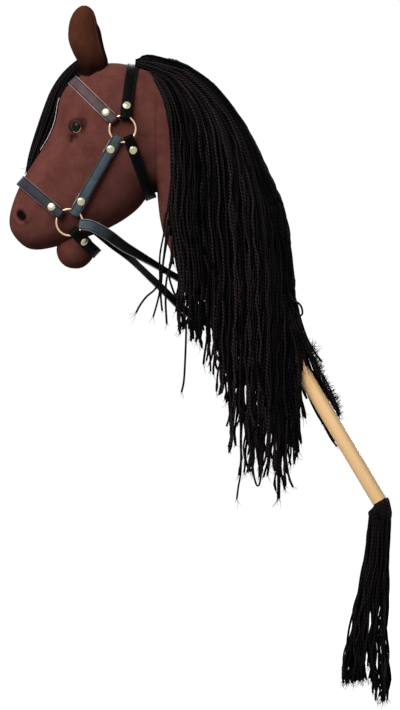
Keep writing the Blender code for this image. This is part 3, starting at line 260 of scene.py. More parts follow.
# %% [markdown]
# **Metal, wood and the rest.** The rings are brass-plated steel wire, polished. The rivets are
# nickel-plated brass. The stick is a sanded pine dowel with straight grain along it, under a thin
# clear coat. The eyes are black safety eyes of polished plastic. The lining of the ears and the
# tapes are black felt and cotton.

# %% Metal and thread
def plated_metal(name, light, dull, roughness):
    """Plating that has gone dull in soft patches, where it is rougher too."""
    material, tree = start_material(name, Metallic=1.0)
    place = add(tree, "TexCoord", output="Object")
    tarnish = add(tree, "TexNoise", {"Scale": 160.0, "Detail": 4.0}, {"Vector": place})
    mix = add(tree, "Mix", {"data_type": "RGBA", 6: colour(light), 7: colour(dull)}, {0: tarnish})
    rough = add(tree, "MapRange", {"To Min": roughness * 0.7, "To Max": roughness * 1.5},
                {"Value": tarnish})
    feed(tree, Base_Color=mix, Roughness=rough)
    return material


RING_BRASS = plated_metal("brass_plated_wire", "ead0b4", "b48c66", 0.24)
RIVET_NICKEL = plated_metal("nickel_plated_brass", "ccc8aa", "7f7858", 0.25)
SCREW_STEEL = plated_metal("zinc_plated_steel", "c8c9cc", "9a9ca0", 0.35)


def plain_cloth(name, light, dark, scale, sheen):
    """Felt, tape or thread: two near colours in soft patches, and a bump of the same size."""
    material, tree = start_material(name, Roughness=0.95, Sheen_Weight=sheen,
                                    Specular_IOR_Level=0.1)
    place = add(tree, "TexCoord", output="Object")
    fibre = add(tree, "TexNoise", {"Scale": scale, "Detail": 4.0, "Roughness": 0.7},
                {"Vector": place})
    mix = add(tree, "Mix", {"data_type": "RGBA", 6: colour(light), 7: colour(dark)}, {0: fibre})
    bump = add(tree, "Bump", {"Strength": 0.4, "Distance": 0.0005}, {"Height": fibre})
    feed(tree, Base_Color=mix, Normal=bump)
    return material


FELT_BLACK = plain_cloth("black_wool_felt", "0c0a0a", "040404", 500.0, 0.03)
FELT_PALE = plain_cloth("pale_wool_felt", "f6e6e2", "e2cbc6", 500.0, 0.1)
COTTON_TAPE = plain_cloth("black_cotton_tape", "1b1a1b", "0e0d0e", 900.0, 0.1)
STITCH_THREAD = plain_cloth("black_nylon_thread", "1b1b1d", "0c0c0d", 2000.0, 0.05)


# %% Wood
def pine(name, along):
    """Straight grain: noise that is squeezed across the stick and drawn out along it."""
    material, tree = start_material(name, Roughness=0.5, Specular_IOR_Level=0.35,
                                    Coat_Weight=0.2, Coat_Roughness=0.25)
    place = add(tree, "TexCoord", output="Object")
    turn = along.to_track_quat("Z", "Y").inverted().to_euler()
    laid = add(tree, "Mapping", {"Rotation": turn}, {"Vector": place})
    squeezed = add(tree, "Mapping", {"Scale": (1.0, 1.0, 0.03)}, {"Vector": laid})
    grain = add(tree, "TexNoise", {"Scale": 420.0, "Detail": 5.0, "Roughness": 0.6,
                                   "Distortion": 0.6}, {"Vector": squeezed})
    rings = add(tree, "TexNoise", {"Scale": 90.0, "Detail": 2.0}, {"Vector": squeezed})
    both = add(tree, "Math", {"operation": "ADD"}, {0: grain, 1: rings})
    share = add(tree, "MapRange", {"From Min": 0.75, "From Max": 1.3}, {"Value": both})
    feed(tree, Base_Color=add(tree, "Mix", {"data_type": "RGBA", 6: colour("ffdba4"),
                                            7: colour("ffc588")}, {0: share}))
    return material


# %% [markdown]
# Now the shapes. The head's own axis droops 42 degrees, so places on the head are given along that
# axis and across it. The stick leans 31 degrees, so places on the neck are given along the stick
# from the hem and forward of it. The numbers are millimetres, and MM turns them to the metres that
# Blender works in.

# %% Places on the horse
STICK_LEAN = radians(30.8)
HEAD_DROOP = radians(42.2)
UP_STICK = Vector((-sin(STICK_LEAN), 0, cos(STICK_LEAN)))
FORWARD = Vector((-cos(STICK_LEAN), 0, -sin(STICK_LEAN)))
MUZZLEWARD = Vector((-cos(HEAD_DROOP), 0, -sin(HEAD_DROOP)))
JAWWARD = Vector((sin(HEAD_DROOP), 0, -cos(HEAD_DROOP)))
GRIP_TO_HEM = 123               # along the stick from the grip, which is the frame's origin


def neck_point(height, forward):
    return (UP_STICK * (GRIP_TO_HEM + height) + FORWARD * forward) * MM


HEAD_CENTRE = neck_point(421.4, 18.2)


def head_point(along, drop):
    return HEAD_CENTRE + (MUZZLEWARD * along + JAWWARD * drop) * MM


def in_mm(place):
    return np.array(place) / MM


print("head's centre", in_mm(HEAD_CENTRE).round(), "mm")


# %% [markdown]
# These helpers do what every piece needs: make a mesh, change it by a modifier or in Edit Mode, and
# finish it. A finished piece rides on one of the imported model's bodies and may stand for its nodes.

# %% Helpers for pieces
def only(piece):
    bpy.ops.object.select_all(action="DESELECT")
    piece.select_set(True)
    bpy.context.view_layer.objects.active = piece


def mesh_piece(name, points, faces, edges=()):
    mesh = bpy.data.meshes.new(name)
    mesh.from_pydata(points, edges, faces)
    mesh.update()
    piece = bpy.data.objects.new(name, mesh)
    bpy.context.scene.collection.objects.link(piece)
    return piece


def modify(piece, kind, **settings):
    """Adds a modifier and applies it."""
    modifier = piece.modifiers.new(kind, kind)
    for name, value in settings.items():
        setattr(modifier, name, value)
    only(piece)
    bpy.ops.object.modifier_apply(modifier=modifier.name)


def edit(piece, *steps):
    """Runs mesh operators on the whole of a piece, each with its settings."""
    only(piece)
    bpy.ops.object.mode_set(mode="EDIT")
    for operator, settings in steps:
        bpy.ops.mesh.select_all(action="SELECT")
        operator(**settings)
    bpy.ops.object.mode_set(mode="OBJECT")


FACE_OUTWARDS = (bpy.ops.mesh.normals_make_consistent, {"inside": False})


def finish(piece, material, body, slot, *replaced, sharp=180):
    """Dresses a piece, fixes it to its body and says which nodes it stands for.

    It is shaded smooth, apart from edges that are sharper than that many degrees.
    """
    dress(piece, material)
    piece.data.shade_smooth()
    piece.data.set_sharp_from_angle(angle=radians(sharp))
    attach(piece, body)
    if replaced:
        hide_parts(*replaced)
    print(piece.name, len(piece.data.polygons), "faces")


def points_of(mesh, what="co"):
    """A mesh's points in metres, or the directions out at them for "normal"."""
    flat = np.empty(len(mesh.vertices) * 3)
    mesh.vertices.foreach_get(what, flat)
    return flat.reshape(-1, 3)


def move_points(mesh, points):
    mesh.vertices.foreach_set("co", (points * MM).ravel())
    mesh.update()


def store(mesh, name, values):
    """Keeps a number for each point, as an attribute that a material can read."""
    attribute = mesh.attributes.new(name, "FLOAT", "POINT")
    attribute.data.foreach_set("value", np.asarray(values, dtype=np.float32))


def store_uv(mesh, name, values):
    layer = mesh.uv_layers.new(name=name)
    layer.data.foreach_set("uv", np.asarray(values, dtype=np.float32).ravel())


def ring_faces(rings, around):
    """Quads between rings of points that follow each other."""
    starts = range(0, (rings - 1) * around, around)
    pairs = [(s + k, s + (k + 1) % around) for s in starts for k in range(around)]
    return [(a, b, b + around, a + around) for a, b in pairs]


# %% [markdown]
# **The cover.** On the real toy two shaped panels of suede are sewn together along the horse's
# middle and stuffed, so the head swells between the seams. The same sections that shape the solid
# model make a coarse cage here. Subdivided four times it is smooth, with a point every 2.5 mm,
# which is fine enough to move points for the eye sockets, the nostrils and the seams.

# %% The cage of the cover
Section = namedtuple("Section", "top bottom half_width")
CAGE_SIDES = 10
CAGE_SWELL = 4 / (3 + cos(2 * pi / CAGE_SIDES))     # makes up for what subdivision takes in
ROUNDNESS = 0.9                 # 1 is an ellipse, and less is squarer
HEM_RADIUS = 12.9


def head_section(top_along, top, jaw_along, jaw, half_width):
    return Section(head_point(top_along, top), head_point(jaw_along, jaw), half_width * MM)


def neck_section(back_height, back, front_height, front, half_width):
    return Section(neck_point(back_height, -back), neck_point(front_height, front),
                   half_width * MM)


SECTIONS = [
    head_section(246.5, 1, 246.5, 24, 17),
    head_section(239, -17, 239, 40, 33.5),
    head_section(214, -35, 214, 56, 43),
    head_section(181, -49.5, 181, 71.5, 47),
    head_section(145, -59, 145, 87, 50),
    head_section(109, -68, 109, 96, 54),
    head_section(82, -83, 82, 97, 60),
    head_section(60, -105.5, 72, 94, 65),
    head_section(18, -109, 62, 93, 68),
    head_section(-23, -97, 55, 95, 63),
    head_section(-50, -63, 49, 97, 57),
    neck_section(457, 50, 313, 50, 53),
    neck_section(413, 75, 301, 56, 54),
    neck_section(355, 87, 282, 65, 55),
    neck_section(293, 87, 254, 75, 55),
    neck_section(225, 78, 203, 78, 52),
    neck_section(152, 57, 148, 69, 44),
    neck_section(80, 29, 80, 40, 29),
    neck_section(32, 16.5, 32, 18.5, 17.5),
    neck_section(0, HEM_RADIUS, 0, HEM_RADIUS, HEM_RADIUS),
]


def rounded(value):
    return abs(value) ** ROUNDNESS * (1 if value >= 0 else -1) * CAGE_SWELL


def section_ring(section):
    centre, reach = (section.top + section.bottom) / 2, (section.top - section.bottom) / 2
    angles = [2 * pi * k / CAGE_SIDES for k in range(CAGE_SIDES)]
    return [centre + reach * rounded(cos(a)) + Y_AXIS * section.half_width * rounded(sin(a))
            for a in angles]


def horse_form(name, levels, hem_open):
    """The outside of the head and neck. A closed form runs on below the hem."""
    rings = [section_ring(section) for section in SECTIONS]
    if not hem_open:
        rings.append([2 * p - q for p, q in zip(rings[-1], rings[-2])])
    points = [p for ring in rings for p in ring]
    faces = ring_faces(len(rings), CAGE_SIDES) + [tuple(range(CAGE_SIDES))[::-1]]
    if not hem_open:
        faces.append(tuple(range(len(points) - CAGE_SIDES, len(points))))
    form = mesh_piece(name, points, faces)
    edit(form, FACE_OUTWARDS)
    modify(form, "SUBSURF", levels=levels, render_levels=levels)
    return form


guide = horse_form("guide", 3, False)
guide_tree = BVHTree.FromObject(guide, bpy.context.evaluated_depsgraph_get())
print("guide form", len(guide.data.polygons), "faces")

# %% [markdown]
# The stuffing pulls the suede tight everywhere except at the seams, which sink a little, and round
# the eyes, where the eyes' posts draw it in. These are small moves of the fine points, each one a
# smooth bump of the distance from a place. The sprayed colour and the painted shade come from the
# same distances.

# %% Details of the cover
EYE = head_point(73.4, -51.4)
NOSTRIL = head_point(218, -9.5)
PIXEL = 1.45                    # millimetres that one pixel of the photograph spans at the horse
GRIP_PIXEL = 340.8, 436.2       # where the photograph shows the frame's origin
SEAM_BESIDE = 8                 # details on the cheeks start this far from the middle seam


def seen(px, py, y=0.0):
    """A place in millimetres, from where the photograph shows it and how far it is to the side."""
    return np.array([(px - GRIP_PIXEL[0]) * PIXEL, y, (GRIP_PIXEL[1] - py) * PIXEL])


NOSTRIL_LINE = seen(20.8, 214.6), seen(23.0, 217.6)
NECK_SEAM = seen(157, 101), seen(156.3, 193)
THROAT_SEAM = seen(139.4, 137), seen(162.8, 137.7)
# The fold of the upper lid, behind the eye, along which shade is painted.
LID_LINE = [seen(77, 120.5), seen(83, 120), seen(87, 122.5), seen(86, 127.5), seen(81.5, 133)]
# The strength and width of each dark line on the suede, and the line's two ends.
DARK_LINES = [
    # Painted shade in the corner in front of the eye, and between the eye and its outer lid.
    (0.9, 4.2, seen(72.2, 137.2), seen(75.6, 136.8)),
    (0.85, 3.2, seen(72.6, 138), seen(71.4, 141.6)),
    (0.8, 4.6, seen(82.5, 122.5), seen(83, 130)),
    # Painted shade along the fold of the upper lid.
    *[(0.75, 1.7, start, end) for start, end in zip(LID_LINE, LID_LINE[1:])],
    # Painted shade in the seams and in the crease behind the nostril.
    (0.14, 2.0, *NECK_SEAM),
    (0.28, 1.5, *THROAT_SEAM),
    (0.6, 4, in_mm(NOSTRIL), seen(26.7, 222.8)),
]


def bell(distance, width):
    return np.exp(-(distance / width) ** 2)


def side_distance(points, place):
    """Distance in the side view, in millimetres."""
    return np.hypot(points[:, 0] - place[0], points[:, 2] - place[2])


def to_line(points, start, end):
    """Distance in the side view from the line between two places, in millimetres."""
    a, b, flat = start[[0, 2]], end[[0, 2]], points[:, [0, 2]]
    share = np.clip(((flat - a) @ (b - a)) / ((b - a) @ (b - a)), 0, 1)
    return np.linalg.norm(flat - a - share[:, None] * (b - a), axis=1)


def waves(points, size, seed):
    """Smooth random values from -1 to 1, whose bumps are about that size in millimetres."""
    offset = Vector((seed * 17.3, seed * 5.1, seed * 9.7))
    return np.array([noise.noise(Vector(p) / size + offset) for p in points])


def shape_cover(mesh):
    """Moves the cover's points, and returns them in millimetres."""
    points = in_mm(points_of(mesh))
    from_middle = np.abs(points[:, 1])
    to_eye = side_distance(points, in_mm(EYE))
    above_eye = side_distance(points, in_mm(EYE) + [-3, 0, 14])
    to_nostril = to_line(points, *NOSTRIL_LINE)
    middle_seam = -0.9 * bell(points[:, 1], 1.6)
    socket = -1.6 * bell(to_eye, 8.5) + 1.0 * bell(to_eye - 11, 3.0)
    brow = 1.3 * bell(above_eye, 11)
    nostril = -4.5 * bell(np.maximum(to_nostril - 2.5, 0), 3.2)
    wing = 1.3 * bell(to_nostril - 9.5, 3.2)
    neck_seam = -0.7 * bell(to_line(points, *NECK_SEAM), 1.8)
    throat_seam = -0.8 * bell(to_line(points, *THROAT_SEAM), 1.8)
    details = socket + brow + nostril + wing + neck_seam + throat_seam
    sag = 0.7 * waves(points, 38, 1) + 0.35 * waves(points, 15, 2)
    move = (middle_seam + details * (from_middle > SEAM_BESIDE)
            + sag * np.clip(from_middle / 12, 0, 1))
    # The hem stays as it is, tight round the stick.
    above_hem = (points @ np.array(UP_STICK)) - GRIP_TO_HEM
    move *= np.clip(above_hem / 40, 0, 1)
    points = points + points_of(mesh, "normal") * move[:, None]
    move_points(mesh, points)
    return points


def spray_and_shade_on(mesh, points):
    """How dark the sprayed colour and the painted shade are at each point of the cover."""
    round_eye = side_distance(points, in_mm(EYE) + [-1.5, 0, 0.5])
    patches = [0.95 * bell(np.maximum(round_eye - 7.6, 0), 2.2),
               bell(np.maximum(to_line(points, *NOSTRIL_LINE) - 4, 0), 2.2)]
    for strength, width, start, end in DARK_LINES:
        patches.append(strength * bell(to_line(points, start, end), width))
    store(mesh, "spray_and_shade", np.max(patches, axis=0) * (np.abs(points[:, 1]) > SEAM_BESIDE))


# %% The cover
SUEDE_THICKNESS = 1.2
cover = horse_form("cover", 4, True)
spray_and_shade_on(cover.data, shape_cover(cover.data))

for side, sign in BOTH_SIDES:
    only(cover)
    bpy.ops.object.duplicate()
    half = bpy.context.object
    half.name = f"cover_{side}"
    edit(half, (bpy.ops.mesh.bisect, {"plane_co": (0, sign * 0.15 * MM, 0),
                                      "plane_no": (0, sign, 0), "clear_inner": True}))
    modify(half, "SOLIDIFY", thickness=SUEDE_THICKNESS * MM, offset=-1)
    filling = "head_filling" if side == "left" else "neck_filling"
    finish(half, SUEDE, "horse", "suede", f"skin_{side}", filling)
bpy.data.objects.remove(cover)

# %% [markdown]
# **The lower lip** is a small stuffed ball of the same suede, sewn on behind the muzzle. It starts
# as a sphere. The boolean takes off what would be inside the muzzle, so the two meet in a crease.

# %% The lower lip
LIP_SIZE = (55, 56, 55)
bpy.ops.mesh.primitive_uv_sphere_add(segments=64, ring_count=40, radius=0.5)
lip = bpy.context.object
lip.name = "lip_ball"
lip.data.transform(Matrix.Translation(head_point(193.6, 78.5))
                   @ Matrix.Diagonal((*[s * MM for s in LIP_SIZE], 1)))


def cut_by_form(piece, clearance):
    """Takes off what is inside the head and neck, and leaves a small gap."""
    only(guide)
    bpy.ops.object.duplicate()
    cutter = bpy.context.object
    modify(cutter, "DISPLACE", mid_level=0, strength=clearance * MM)
    modify(piece, "BOOLEAN", operation="DIFFERENCE", object=cutter)
    bpy.data.objects.remove(cutter)


lip_points = in_mm(points_of(lip.data))
lip_moves = 0.6 * waves(lip_points, 16, 5) - 0.8 * bell(lip_points[:, 1], 1.6)
move_points(lip.data, lip_points + points_of(lip.data, "normal") * lip_moves[:, None])
cut_by_form(lip, 0.5)
finish(lip, SUEDE, "horse", "suede", "lower_lip", sharp=60)

# %% [markdown]
# **The ears** are cupped leaves: suede outside and black felt in the hollow. Each is a grid of
# points from root to tip, and Solidify gives it its thickness. A rolled seam runs round its edge.

# %% The ears
EAR_ROOT = in_mm(head_point(0.8, -98.5))
EAR_SPREAD = 24                 # from the middle to the root
EAR_SPLAY = 0.1                 # how much farther out it is for each millimetre of height
EAR_CUP = 0.5                   # the hollow's depth, as a share of the half width
EAR_COLUMNS = 44
# Height above the root, place behind it and half width, in millimetres.
EAR_STATIONS = np.array([
    (-27, 6, 5), (-14, 1.5, 10), (0, 1, 17), (14, -1, 19.5), (29, -7, 21), (43, -11, 21.5),
    (57, -12.3, 20.3), (70, -12, 18.4), (81, -11, 14.5), (88, -10.5, 8.5), (91, -10.5, 2.5)])
LINING_STATIONS = np.vstack([EAR_STATIONS[:-4], (65, -12, 17), (74, -11.5, 12.5), (79, -11, 5)])


def smooth_rows(rows, step):
    """A Catmull-Rom curve through rows of numbers, whose first three are a place."""
    rows = np.asarray(rows, float)
    ends = np.vstack([2 * rows[0] - rows[1], rows, 2 * rows[-1] - rows[-2]])
    out = []
    for a, b, c, d in zip(ends, ends[1:], ends[2:], ends[3:]):
        pieces = max(1, int(np.ceil(np.linalg.norm((c - b)[:3]) / step)))
        for s in (k / pieces for k in range(pieces)):
            out.append(0.5 * (2 * b + (c - a) * s + (2 * a - 5 * b + 4 * c - d) * s * s
                              + (3 * b - a - 3 * c + d) * s ** 3))
    return np.array(out + [rows[-1]])


def ear_leaf(name, sign, stations, first, last, inward, thickness):
    """A cupped sheet, from a first to a last share of its half width."""
    points, faces = [], []
    for height, behind, half in smooth_rows(stations, 2.5):
        for k in range(EAR_COLUMNS + 1):
            q = first + (last - first) * k / EAR_COLUMNS
            hollow = EAR_CUP * half * (1 - q * q)
            across = EAR_SPREAD + EAR_SPLAY * height + hollow - inward
            points.append(EAR_ROOT + np.array([behind + q * half, sign * across, height]))
    row = EAR_COLUMNS + 1
    for start in range(0, len(points) - row, row):
        for a in range(start, start + EAR_COLUMNS):
            quad = (a, a + 1, a + row + 1, a + row)
            faces.append(quad[::-1] if sign > 0 else quad)
    leaf = mesh_piece(name, np.array(points) * MM, faces)
    modify(leaf, "SOLIDIFY", thickness=thickness * MM, offset=0)
    modify(leaf, "BEVEL", width=thickness * 0.42 * MM, segments=3, limit_method="ANGLE",
           angle_limit=radians(60))
    return leaf


for side, sign in BOTH_SIDES:
    ear = ear_leaf(f"ear_leaf_{side}", sign, EAR_STATIONS, -1, 1, 0, 2.4)
    ear_points = in_mm(points_of(ear.data))
    # The root is pinched into a fold where it is sewn to the head.
    low = np.clip(1 - (ear_points[:, 2] - EAR_ROOT[2] + 10) / 40, 0, 1)
    ear_points[:, 1] += sign * 1.6 * low * np.sin(ear_points[:, 0] / 3.1)
    ear_points[:, 1] += sign * 0.5 * waves(ear_points, 14, 8)
    # The hem is rolled over and sewn down, which leaves a groove inside it.
    height = ear_points[:, 2] - EAR_ROOT[2]
    behind, half = (np.interp(height, EAR_STATIONS[:, 0], EAR_STATIONS[:, k]) for k in (1, 2))
    share = np.abs((ear_points[:, 0] - EAR_ROOT[0] - behind) / half)
    ear_points[:, 1] += sign * (0.5 * bell(share - 0.97, 0.06) - 0.8 * bell(share - 0.86, 0.035))
    move_points(ear.data, ear_points)
    # Painted shade: the ear is darker towards its root, where the pinched fold and hollow are in
    # shade.
    store(ear.data, "spray_and_shade", 0.97 * np.clip((38 - height) / 36, 0, 1))
    cut_by_form(ear, 0.4)
    finish(ear, EAR_SUEDE, "horse", "suede", f"ear_{side}", sharp=60)
    lining = ear_leaf(f"ear_felt_{side}", sign, LINING_STATIONS, -0.85, 1.22, 3.3, 1.2)
    cut_by_form(lining, 0.4)
    finish(lining, FELT_BLACK, "horse", "lining", f"ear_lining_{side}", sharp=60)

# %% [markdown]
# **The eyes** are domes of black plastic with a thin copper-coloured rim, held by a post through
# the suede. Each is turned from a profile with Spin, about its own axis, and then laid on the skin.

# %% The eyes
EYE_PLACE = {side: guide_tree.ray_cast(Vector((EYE.x, sign, EYE.z)), Vector((0, -sign, 0)))[:2]
             for side, sign in BOTH_SIDES}


def arc_profile(radius, base, rise, count):
    """The outline of a dome from its top outwards, in eighths of a quarter turn."""
    return [(radius * sin(pi / 2 * k / 8), base + rise * cos(pi / 2 * k / 8))
            for k in range(count)]


def turned(name, profile, seat=Vector(), axis=Vector((0, 0, 1)), steps=32):
    """A closed shape spun from a profile of (radius, height), about an axis at a seat."""
    piece = mesh_piece(name, [(r * MM, 0, h * MM) for r, h in profile], [],
                       [(i, i + 1) for i in range(len(profile) - 1)])
    edit(piece,
         (bpy.ops.mesh.spin, {"steps": steps, "angle": 2 * pi, "center": (0, 0, 0),
                              "axis": (0, 0, 1)}),
         (bpy.ops.mesh.remove_doubles, {"threshold": 1e-6}),
         FACE_OUTWARDS)
    piece.data.transform(Matrix.Translation(seat)
                         @ axis.to_track_quat("Z", "X").to_matrix().to_4x4())
    return piece


EYE_PLASTIC, _ = start_material("black_moulded_plastic", Base_Color=colour("060404"),
                                Roughness=0.08, Specular_IOR_Level=0.1)
RIM_COPPER, _ = start_material("copper_lacquered_rim", Base_Color=colour("b98a63"),
                               Roughness=0.3, Metallic=0.9)
EYE_RADIUS = 7.8
RIM_THICKNESS = 0.65
DOME = arc_profile(EYE_RADIUS, 0.4, 4.4, 9) + [(EYE_RADIUS, -2), (0, -2)]
RIM = [(EYE_RADIUS + RIM_THICKNESS * cos(2 * pi * k / 10),
        0.9 + RIM_THICKNESS * sin(2 * pi * k / 10)) for k in range(11)]
RIM_SHIFT = Vector((1.1, 0, -0.5)) * MM     # the rim stands clear of the dome behind and below
for side, (seat, out) in EYE_PLACE.items():
    dome = turned(f"eye_dome_{side}", DOME, seat, out, 40)
    finish(dome, EYE_PLASTIC, "horse", "eye", f"eye_{side}", sharp=50)
    rim = turned(f"eye_rim_{side}", RIM, seat + RIM_SHIFT, out, 40)
    finish(rim, RIM_COPPER, "horse", "eye", sharp=50)

# %% [markdown]
# **The stick** is a 22 mm dowel with a sanded edge at each end. A cylinder is enough, with a bevel.

# %% The stick
STICK_RADIUS = 11
STICK_LOW, STICK_HIGH = -110, GRIP_TO_HEM + 335
bpy.ops.mesh.primitive_cylinder_add(vertices=128, radius=STICK_RADIUS * MM,
                                    depth=(STICK_HIGH - STICK_LOW) * MM)
stick = bpy.context.object
stick.name = "dowel"
stick.data.transform(Matrix.Translation(UP_STICK * (STICK_HIGH + STICK_LOW) / 2 * MM)
                     @ UP_STICK.to_track_quat("Z", "Y").to_matrix().to_4x4())
modify(stick, "BEVEL", width=1.2 * MM, segments=4, limit_method="ANGLE", angle_limit=radians(60))
finish(stick, pine("sanded_pine_dowel", UP_STICK), "horse", "stick_wood", "stick", sharp=40)

# %% [markdown]
# **The rings** are 3 mm wire, bent round and welded. Each hangs free in the folds of its straps, so
# it rides on its own body. One torus is made and copied to the four places.

# %% The rings
RING_MAJOR, RING_MINOR = 19, 1.5
WELD_ANGLE = 0.4                # where the wire's ends meet, round the ring in radians
bpy.ops.mesh.primitive_torus_add(major_segments=72, minor_segments=14,
                                 major_radius=RING_MAJOR * MM, minor_radius=RING_MINOR * MM,
                                 rotation=(pi / 2, 0, 0))
ring_master = bpy.context.object
bpy.ops.object.transform_apply(rotation=True)
ring_points = in_mm(points_of(ring_master.data))
weld = np.array([RING_MAJOR * cos(WELD_ANGLE), 0, RING_MAJOR * sin(WELD_ANGLE)])
weld_swell = 0.22 * bell(side_distance(ring_points, weld), 1.6)
move_points(ring_master.data,
            ring_points + points_of(ring_master.data, "normal") * weld_swell[:, None])


def copy_of(master, name, transform):
    piece = master.copy()
    piece.data = master.data.copy()
    piece.name = name
    bpy.context.scene.collection.objects.link(piece)
    piece.data.transform(transform)
    return piece


for place in ("cheek_ring_left", "cheek_ring_right", "bit_ring_left", "bit_ring_right"):
    low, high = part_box(place)
    middle = (Vector(low) + Vector(high)) / 2
    ring = copy_of(ring_master, f"{place}_wire", Matrix.Translation(middle))
    finish(ring, RING_BRASS, f"{place}_body", "ring", place)
bpy.data.objects.remove(ring_master)

# %% [markdown]
# **The rivets** have a wide domed cap, a post through the two layers of strap and a flat foot
# behind. The cap is spun from a profile once, and copied to each place in the solid model, whose
# widest points lie on the cap's rim and give the rivet's axis.

# %% The rivets
CAP_RADIUS, CAP_HEIGHT = 6.25, 2.6


def rivet_place(name):
    """The middle of a solid rivet's cap, at the strap, and the direction out of the strap."""
    points = points_of(bpy.data.objects[name].data)
    between = points[:, None] - points[None]
    apart = np.linalg.norm(between, axis=2)
    i, j = np.unravel_index(apart.argmax(), apart.shape)
    first = between[i, j] / apart[i, j]
    across = np.abs(between @ first) < 0.8 * apart
    k, m = np.unravel_index((apart * across).argmax(), apart.shape)
    axis = np.cross(first, between[k, m])
    axis *= np.sign(axis[1] * points[i, 1]) / np.linalg.norm(axis)
    return Vector((points[i] + points[j]) / 2), Vector(axis)


CAP = arc_profile(CAP_RADIUS * 0.96, 0.5, CAP_HEIGHT - 0.5, 8)
CAP += [(CAP_RADIUS * 0.97, 0.5), (CAP_RADIUS, 0.3), (CAP_RADIUS, 0.08), (CAP_RADIUS * 0.96, 0),
        (2, 0), (2, -3.6), (4, -3.6), (4, -4.1), (0, -4.1)]
rivet_master = turned("rivet_master", CAP)
for name in sorted(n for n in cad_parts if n.startswith("rivet_")):
    seat, axis = rivet_place(name)
    turn = axis.to_track_quat("Z", "X").to_matrix().to_4x4()
    rivet = copy_of(rivet_master, name.replace("rivet", "cap"), Matrix.Translation(seat) @ turn)
    finish(rivet, RIVET_NICKEL, "horse", "rivet", name, sharp=50)
bpy.data.objects.remove(rivet_master)

# %% [markdown]
# **The straps.** The solid model's straps are bent bands with four sharp corners all along. Walking
# along those corners gives each section's place, width and direction out. Here the sections are
# joined by a smooth curve, and each gets the rounded profile of cut leather, with a shallow groove
# where the stitches pull it in.

# %% Sections of a strap
def unit(rows):
    return rows / np.maximum(np.linalg.norm(rows, axis=-1, keepdims=True), 1e-9)


def run_along(path):
    """The distance along a path at each of its points."""
    return np.concatenate([[0], np.cumsum(np.linalg.norm(np.diff(path, axis=0), axis=1))])


def rows_at(rows, along, places):
    """Rows of numbers at some distances along, worked out from the rows on either side."""
    return np.stack([np.interp(places, along, column) for column in rows.T], axis=-1)


def strap_sections(name):
    """The four corners of each section of a strap, in order along it, in millimetres."""
    bm = bmesh.new()
    bm.from_mesh(bpy.data.objects[name].data)
    bmesh.ops.remove_doubles(bm, verts=bm.verts, dist=2e-6)
    sharp = {}
    for edge in bm.edges:
        if len(edge.link_faces) == 2 and edge.calc_face_angle() > radians(62):
            for v in edge.verts:
                sharp.setdefault(v, []).append(edge.other_vert(v))
    # At a strap's two ends, each corner meets three sharp edges, two of them to such corners.
    three = {v for v in sharp if len(sharp[v]) == 3}
    ends = {v for v in three if sum(o in three for o in sharp[v]) == 2}
    quad = [min(ends, key=lambda v: tuple(v.co))]
    while len(quad) < 4:
        quad.append(next(o for o in sharp[quad[-1]] if o in ends and o not in quad))
    chains = []
    used = set(quad)
    for corner in quad:
        chain, here = [corner], next(o for o in sharp[corner] if o not in quad)
        while here not in ends:
            chain.append(here)
            used.add(here)
            onward = [e for e in here.link_edges if e.other_vert(here) not in used]
            here = max(onward, key=lambda e: e.calc_face_angle()).other_vert(here)
        chains.append(in_mm([v.co for v in [*chain, here]]))
    bm.free()
    count = min(len(chain) for chain in chains)
    return np.stack([chain[:count] for chain in chains], axis=1)


def inside_of(centre):
    """A place inside a strap's bend. One that goes round the head has it in the middle plane."""
    inside = centre.mean(0)
    return inside * [1, 0, 1] if abs(inside[1]) > 10 else inside


def strap_rows(name):
    """Centre, width vector and direction out of each section, as rows of nine numbers."""
    corners = strap_sections(name)
    sides = np.linalg.norm(corners - np.roll(corners, -1, axis=1), axis=2).mean(0)
    if sides[0] < sides[1]:
        corners = np.roll(corners, -1, axis=1)
    a, b, c, d = (corners[:, k] for k in range(4))
    left, right = (a + d) / 2, (b + c) / 2
    out = a + b - c - d
    centre = (left + right) / 2
    if ((centre - inside_of(centre)) * out).sum() < 0:
        out, left, right = -out, right, left
    return np.hstack([centre, right - left, unit(out)])


# %% Straps with rounded edges
# From each edge inwards, and up from the middle of a thickness of 1.6, in millimetres.
STRAP_THICKNESS = 1.6
FACE_PROFILE = [(0.0, 0.0), (0.12, 0.5), (0.5, 0.76), (1.3, 0.8), (1.75, 0.66), (2.45, 0.66),
                (2.9, 0.8)]
BACK_PROFILE = [(2.0, -0.8), (0.5, -0.78), (0.12, -0.45)]


def band_profile(half, thickness):
    scale = thickness / STRAP_THICKNESS
    left, back = ([(-half + x, y * scale) for x, y in profile]
                  for profile in (FACE_PROFILE, BACK_PROFILE))
    mirrored = [[(-x, y) for x, y in part[::-1]] for part in (left, back)]
    return left + [(0, 0.84 * scale)] + mirrored[0] + mirrored[1] + back


